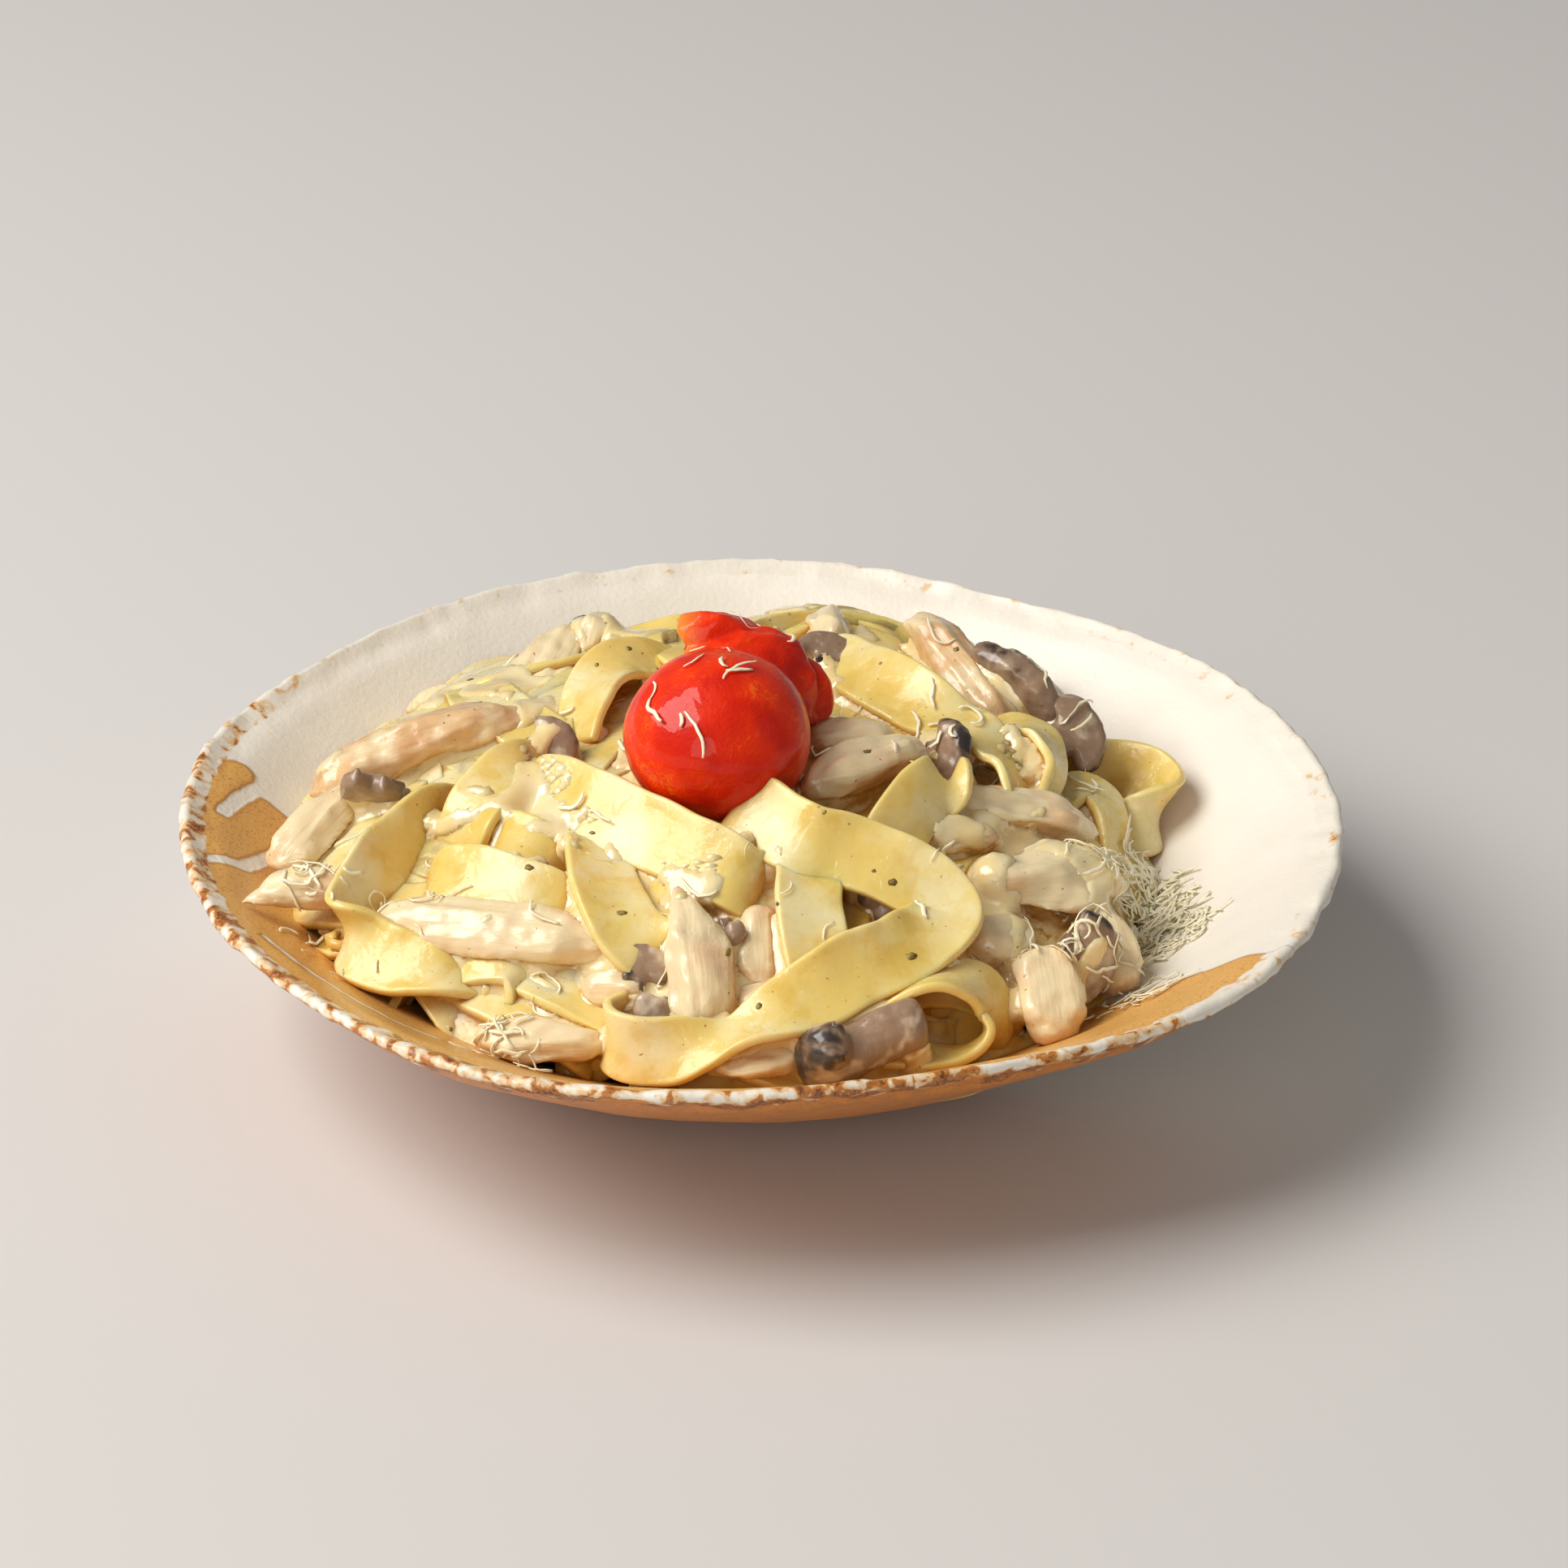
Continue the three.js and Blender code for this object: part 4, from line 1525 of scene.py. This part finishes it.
@dataclass
class Mushrooms:
    """The mushroom slices, softened by cooking, with a darker skin round them."""

    count: int = 14
    voxel: float = 0.55
    softening: int = 34
    swell: float = 0.6
    thick: int = 6
    thick_share: float = 2.8
    warp: float = 0.9
    dents: Pair = (0.4, 0.2)

    def mesh(self, node: str, seed: float, share: float) -> bpy.types.Mesh:
        """One slice's fine mesh.

        Args:
            node: The slice's CAD node.
            seed: Moves the noise.
            share: How many times the usual softening it gets.

        Returns:
            The mesh, with the attribute skin.
        """
        mesh = swollen(remeshed(cad_copy(node), self.voxel, int(self.softening * share)), self.swell * share)
        points = places(mesh)
        middle, axes = principal(points)
        local = (points - middle) @ axes.T
        wide = [np.abs(local[end * local[:, 0] > 0, 1]).mean() for end in (-1, 1)]
        along = local[:, 0] * (1 if wide[1] > wide[0] else -1)
        cap = np.abs(local[:, 1]).max()
        past = along - along.max() + 0.85 * cap
        round_cap = smoothstep(0.4, 1.1, np.hypot(past, local[:, 1]) / cap)
        skin = 0.3 + 0.7 * round_cap * smoothstep(-1.3 * cap, 0.4 * cap, past)
        bend = np.array([self.warp * wobble((a, b, 0), 7.0, seed + 3) for a, b, _ in local])
        points += bend[:, None] * axes[2]
        broad, fine = self.dents
        shift = [broad * wobble(p, 4.5, seed) + fine * wobble(p, 1.6, seed + 1) for p in local]
        move_to(mesh, points + normals(mesh) * np.array(shift)[:, None])
        put_attribute(mesh, "skin", skin)
        return mesh

    def build(self, finish: MushroomFinish) -> list[bpy.types.Object]:
        """Makes every slice.

        Args:
            finish: The look of all the slices.

        Returns:
            One piece for each slice.
        """
        material = finish.build()
        pieces = []
        for index in range(self.count):
            node = f"mushroom_slice_{index + 1:02d}"
            mesh = self.mesh(node, 2.1 * index, self.thick_share if index + 1 == self.thick else 1.0)
            piece = new_piece(f"mushroom_{index + 1:02d}", mesh, material)
            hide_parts(node)
            pieces.append(piece)
        return pieces


@dataclass
class Tomatoes:
    """The whole cherry tomato and the burst one behind it."""

    swell: float = 0.5
    crease: float = 0.12
    fold: float = 1.6
    tear_from: float = -9.0
    tear_to: float = -15.5

    def whole(self) -> bpy.types.Mesh:
        """The whole tomato: a smooth skin with fine creases.

        Returns:
            The mesh, with the attribute torn at 0.
        """
        mesh = swollen(subdivided(cad_copy("tomato_whole"), 3), self.swell)
        points = places(mesh)
        shift = []
        for x, y, z in points:
            crease = self.crease * abs(wobble((x, y, z / 3), 1.6, 6.0))
            shift.append(0.35 * wobble((x, y, z), 9.0, 1.1) - crease)
        put_attribute(mesh, "torn", np.zeros(len(points)))
        return move_to(mesh, points + normals(mesh) * np.array(shift)[:, None])

    def burst(self) -> bpy.types.Mesh:
        """The burst tomato: the same skin, slack and folded.

        Returns:
            The mesh, with the attribute torn.
        """
        mesh = remeshed(cad_copy("tomato_burst"), 0.5, 4)
        points = places(mesh)
        shift = []
        for x, y, z in points:
            fold = max(0.0, 1 - 3.5 * abs(wobble((x / 3, y, z), 13.0, 3.3)))
            bulge = 1.2 * abs(wobble((x, y, z), 11.0, 2.2))
            shift.append(bulge - self.fold * fold + 0.25 * wobble((x, y, z), 3.0, 8.1))
        put_attribute(mesh, "torn", smoothstep(self.tear_from, self.tear_to, points[:, 0]))
        return move_to(mesh, points + normals(mesh) * np.array(shift)[:, None])

    def build(self, finish: TomatoFinish) -> list[bpy.types.Object]:
        """Makes both.

        Args:
            finish: The look of both.

        Returns:
            Both pieces.
        """
        material = finish.build()
        pieces = []
        for name, mesh in (("tomato_whole", self.whole()), ("tomato_burst", self.burst())):
            piece = new_piece(f"cherry_{name}", mesh, material)
            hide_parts(name)
            pieces.append(piece)
        return pieces


# --------------------------------------------------------------------- scattered things


class Ground:
    """The outside of finished pieces, to lay small things on."""

    def __init__(self, pieces: Iterable[bpy.types.Object]) -> None:
        """Gathers the pieces' surfaces.

        Args:
            pieces: The pieces that small things lie on.
        """
        bm = bmesh.new()
        for piece in pieces:
            bm.from_mesh(piece.data)
        self.tree = BVHTree.FromBMesh(bm)
        bm.free()

    def under(self, point: Vector, normal: Vector, reach: float) -> Found | None:
        """Finds the surface that a point lies over.

        Args:
            point: Where to look, in millimetres.
            normal: Which way is up there.
            reach: How far to look in all, half of it above the point.

        Returns:
            The place in millimetres and the normal, or None where nothing is.
        """
        start = (point + normal * reach / 2) * MM
        place, facing, _, _ = self.tree.ray_cast(start, -normal, reach * MM)
        return None if place is None else (place / MM, facing)

    def drop(self, x: float, y: float) -> Found | None:
        """Where something falls to from above, as place and normal."""
        return self.under(Vector((x, y, 60)), Vector((0, 0, 1)), 120.0)

    def enclosed(self, mesh: bpy.types.Mesh, reach: float = 15.0, rays: int = 8) -> None:
        """Stores the share of the directions off each vertex that are blocked nearby, as enclosed.

        Args:
            mesh: One of the pieces' meshes.
            reach: How near something has to be to count, in millimetres.
            rays: How many directions to try.
        """
        turns = GOLDEN_ANGLE * np.arange(rays)
        height = 1 - 2 * (np.arange(rays) + 0.5) / rays
        flat = np.sqrt(1 - height**2)
        ball = 0.97 * np.stack([flat * np.cos(turns), flat * np.sin(turns), height], axis=1)
        facing = normals(mesh)
        starts = (places(mesh) + 0.4 * facing) * MM
        blocked = np.zeros(len(starts))
        for i, (start, normal) in enumerate(zip(starts, facing)):
            origin = Vector(start)
            for direction in normal + ball:
                hit = self.tree.ray_cast(origin, Vector(direction), reach * MM)
                blocked[i] += hit[0] is not None
        put_attribute(mesh, "enclosed", blocked / rays)


@dataclass
class Scatter:
    """Where small things fall: discs of (x, y, radius, how many), which pile up where they are many."""

    discs: Discs
    pile: float = 1.5

    def spots(self, rng: random.Random) -> Iterable[tuple[float, float, float]]:
        """Every spot and its height over the ground, thicker towards the middle of each disc.

        Args:
            rng: Draws the spots.

        Returns:
            Rows of x, y and height over the ground.
        """
        for x, y, radius, many in self.discs:
            for _ in range(many):
                share = rng.random() ** 0.7
                angle = rng.uniform(0, math.tau)
                lift = self.pile * rng.random() * (1 - share) * min(1.0, many / 100)
                yield x + share * radius * math.cos(angle), y + share * radius * math.sin(angle), lift


@dataclass
class Cheese:
    """Finely grated cheese in curly shreds, each a bent tube that follows what it lies on."""

    scatter: Scatter
    seed: int = 12
    radius: float = 0.32
    flatness: float = 0.36
    sides: int = 6
    stride: float = 0.85
    shortest: int = 3

    def middle(
        self, ground: Ground, rng: random.Random, start: Found, height: float
    ) -> tuple[np.ndarray, Vector]:
        """One shred's middle line.

        Args:
            ground: What the shred lies on.
            rng: Draws its curl and its length.
            start: Where it starts, as place and normal.
            height: How far it lies over the ground.

        Returns:
            The line's points, as rows, and the normal at its end.
        """
        place, normal = start
        heading = Vector((rng.uniform(-1, 1), rng.uniform(-1, 1), 0)).cross(normal).normalized()
        curl = rng.gauss(0, 0.3)
        lift = rng.uniform(0, 0.2)
        line = []
        for step in range(rng.randint(4, 12)):
            line.append(place + normal * (0.3 + height + lift * step * 0.5))
            heading = (heading + heading.cross(normal) * (curl + rng.gauss(0, 0.25))).normalized()
            place = place + heading * self.stride
            found = ground.under(place, normal, 5.0)
            if found is None:
                break
            place, normal = found[0], (normal * 0.5 + found[1] * 0.5).normalized()
            heading = (heading - normal * heading.dot(normal)).normalized()
        return np.array([list(point) for point in line]), normal

    def tube(self, middle: np.ndarray, normal: Vector, rng: random.Random) -> np.ndarray:
        """A flattened tube round a middle line, thinner at its ends.

        Args:
            middle: The line's points, as rows.
            normal: Which way the tube is flat.
            rng: Draws its thickness.

        Returns:
            Points in millimetres, indexed [along, round, xyz].
        """
        forward = unit(np.gradient(middle, axis=0))
        side = unit(np.cross(forward, np.array(normal) + 0.01))
        up = np.cross(side, forward)
        taper = np.sin(np.linspace(0.35, math.pi - 0.35, len(middle))) ** 0.5
        thick = self.radius * rng.uniform(0.6, 1.5) * taper
        turns = np.linspace(0, math.tau, self.sides + 1)[None, :, None]
        rim = np.cos(turns) * side[:, None] + self.flatness * np.sin(turns) * up[:, None]
        return middle[:, None] + rim * thick[:, None, None]

    def build(self, ground: Ground, finish: GarnishFinish) -> bpy.types.Object:
        """Makes all the shreds as one piece.

        Args:
            ground: What the cheese lies on.
            finish: Its look.

        Returns:
            The piece.
        """
        rng = random.Random(self.seed)
        bm = bmesh.new()
        for x, y, height in self.scatter.spots(rng):
            start = ground.drop(x, y)
            if start is None:
                continue
            middle, normal = self.middle(ground, rng, start, height)
            if len(middle) >= self.shortest:
                grid(bm, self.tube(middle, normal, rng) * MM)
        bmesh.ops.remove_doubles(bm, verts=bm.verts, dist=0.002 * MM)
        bmesh.ops.holes_fill(bm, edges=[e for e in bm.edges if e.is_boundary], sides=self.sides)
        bmesh.ops.recalc_face_normals(bm, faces=bm.faces)
        return new_piece("grated_cheese", mesh_from(bm), finish.build())


@dataclass
class HerbFlecks:
    """Small flat herb flecks, pressed on to what they lie on, but none on the tomatoes."""

    scatter: Scatter
    size: Pair = (0.5, 1.7)
    seed: int = 5
    flatness: float = 0.1
    below: float = 57.0

    def build(self, ground: Ground, finish: GarnishFinish) -> bpy.types.Object:
        """Makes all the flecks as one piece.

        Args:
            ground: What the herbs lie on.
            finish: Their look.

        Returns:
            The piece.
        """
        rng = random.Random(self.seed)
        bm = bmesh.new()
        for x, y, _ in self.scatter.spots(rng):
            found = ground.drop(x, y)
            if found is None or found[0].z > self.below:
                continue
            place, normal = found
            size = rng.uniform(*self.size) / 2
            turn = normal.to_track_quat("Z", "Y")
            lengthen = rng.uniform(0.7, 1.6)
            made = bmesh.ops.create_icosphere(bm, subdivisions=1, radius=1.0)["verts"]
            for vert in made:
                jag = rng.uniform(0.75, 1.2)
                local = Vector((vert.co.x * lengthen, vert.co.y, vert.co.z * self.flatness)) * size * jag
                vert.co = (place + turn @ local + normal * size * self.flatness * 0.4) * MM
        return new_piece("herb_flecks", mesh_from(bm), finish.build())


# ------------------------------------------------------------------------------- studio


@dataclass(frozen=True)
class Studio:
    """A pale floor, a large soft lamp on the left, weak ones in front and on the right, a camera."""

    place: Place = (4.746, -751.699, 434.828)
    elevation: float = 27.5
    lens: float = 106.8
    floor: Colour = (0.69, 0.668, 0.650)

    def camera(self) -> None:
        """Makes the scene's camera."""
        data = bpy.data.cameras.new("camera")
        data.lens, data.sensor_width, data.clip_start = self.lens, 36.0, 0.01
        camera = bpy.data.objects.new("camera", data)
        camera.location = Vector(self.place) * MM
        camera.rotation_euler = (math.radians(90 - self.elevation), 0, 0)
        bpy.context.scene.collection.objects.link(camera)
        bpy.context.scene.camera = camera

    def lamp(self, name: str, place: Place, size: float, watts: float, colour: Colour = (1, 1, 1)) -> None:
        """Makes one square area lamp, in metres, that faces the bowl.

        Args:
            name: Its name.
            place: Where it hangs, in metres.
            size: Its side, in metres.
            watts: Its power.
            colour: Its colour.
        """
        data = bpy.data.lights.new(name, "AREA")
        data.size, data.energy, data.color = size, watts, colour
        lamp = bpy.data.objects.new(name, data)
        lamp.location = place
        lamp.rotation_euler = (Vector(place) - Vector((0, 0, 0.03))).to_track_quat("Z", "Y").to_euler()
        bpy.context.scene.collection.objects.link(lamp)

    def build(self) -> None:
        """Makes the floor, the lamps and the camera."""
        bm = bmesh.new()
        bmesh.ops.create_grid(bm, x_segments=2, y_segments=2, size=3.0)
        tree = Tree("floor")
        grain = tree.noise(2.0, detail=2.0)
        roughness = tree.ramp(grain, 0.3, 0.7, 0.75, 0.85)
        tree.surface(Base_Color=self.floor, Roughness=roughness, Specular_IOR_Level=0.2)
        new_piece("floor", mesh_from(bm), tree.material)
        self.lamp("key", (-1.22, -0.16, 1.42), 1.25, 37.5, (1.0, 0.975, 0.94))
        self.lamp("front", (-0.45, -1.5, 0.65), 0.9, 5.5, (1.0, 0.965, 0.91))
        self.lamp("side", (1.2, -0.7, 0.6), 0.8, 0.3, (1.0, 0.97, 0.93))
        world = bpy.data.worlds.new("studio")
        world.use_nodes = True
        sky = world.node_tree.nodes["Background"].inputs
        sky["Color"].default_value = (1.0, 0.97, 0.93, 1.0)
        sky["Strength"].default_value = 0.2
        bpy.context.scene.world = world
        bpy.context.scene.view_settings.view_transform = "Standard"
        self.camera()


# --------------------------------------------------------------------------------- main

# Where cheese and herbs fall, in discs of x, y, radius and how many.
CHEESE_SPRINKLED: Discs = (
    (-2, 0, 72, 30), (-66, -34, 16, 10), (10, -40, 40, 6), (40, 14, 30, 22), (-9, -17, 11, 8),
)
CHEESE_PILED: Discs = (
    (70, -17, 12, 230), (72, -3, 8, 60), (62, -44, 12, 60), (-42, -67, 9, 26), (-77, -34, 8, 26),
)
HERBS_SPRINKLED: Discs = ((-2, -5, 75, 30), (15, -50, 25, 6))


def main() -> None:
    """Builds the studio, the bowl and the food, logs its progress and attaches every piece to one body."""
    logging.basicConfig(level=logging.INFO, format="%(relativeCreated)7d ms %(message)s")
    Studio().build()
    bowl = Bowl()
    heap = Heap(bowl)
    pieces = [bowl.build(GlazeFinish())]
    log.info("bowl")

    pasta = PastaFinish().build()
    front = RibbonPile("ribbons_front", list(FRONT_RIBBONS.values())).build(pasta)
    under = RibbonPile("ribbons_under", Tangle(heap).ribbons(), subdivide=0, seed=50.0).build(pasta)
    pieces += [front, under]
    log.info("ribbons: %d and %d faces", len(front.data.polygons), len(under.data.polygons))

    strips = Chicken().build({
        Sear.PALE: ChickenFinish(flesh=(0.87, 0.62, 0.375), seared_share=0.12, sauce_share=0.40),
        Sear.PLAIN: ChickenFinish(),
        Sear.GOLDEN: ChickenFinish(flesh=(0.80, 0.53, 0.27), seared_share=0.30, sauce_share=0.28),
    })
    slices = Mushrooms().build(MushroomFinish())
    tomatoes = Tomatoes().build(TomatoFinish())
    pieces += strips + slices + tomatoes
    log.info("toppings: %d pieces", len(strips + slices + tomatoes))

    sauce = Sauce().build([p.data for p in (front, under, *strips, *slices)], SauceFinish())
    pieces.append(sauce)
    log.info("sauce: %d faces", len(sauce.data.polygons))

    ground = Ground(pieces)
    # How enclosed each vertex is, from which the materials paint shade into crevices.
    for piece in (front, under, sauce, *strips):
        ground.enclosed(piece.data)
    log.info("crevices")
    grated = GarnishFinish("cheese", (0.97, 0.92, 0.71), (0.95, 0.86, 0.58), 2.0, 0.4)
    pieces.append(Cheese(Scatter(CHEESE_SPRINKLED + CHEESE_PILED)).build(ground, grated))
    dried = GarnishFinish("herbs", (0.40, 0.32, 0.08), (0.20, 0.11, 0.025), 1.6, 0.55)
    pieces.append(HerbFlecks(Scatter(HERBS_SPRINKLED)).build(ground, dried))
    log.info("scattered things")

    for piece in pieces:
        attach(piece, BODY)


if __name__ == "__main__":
    main()
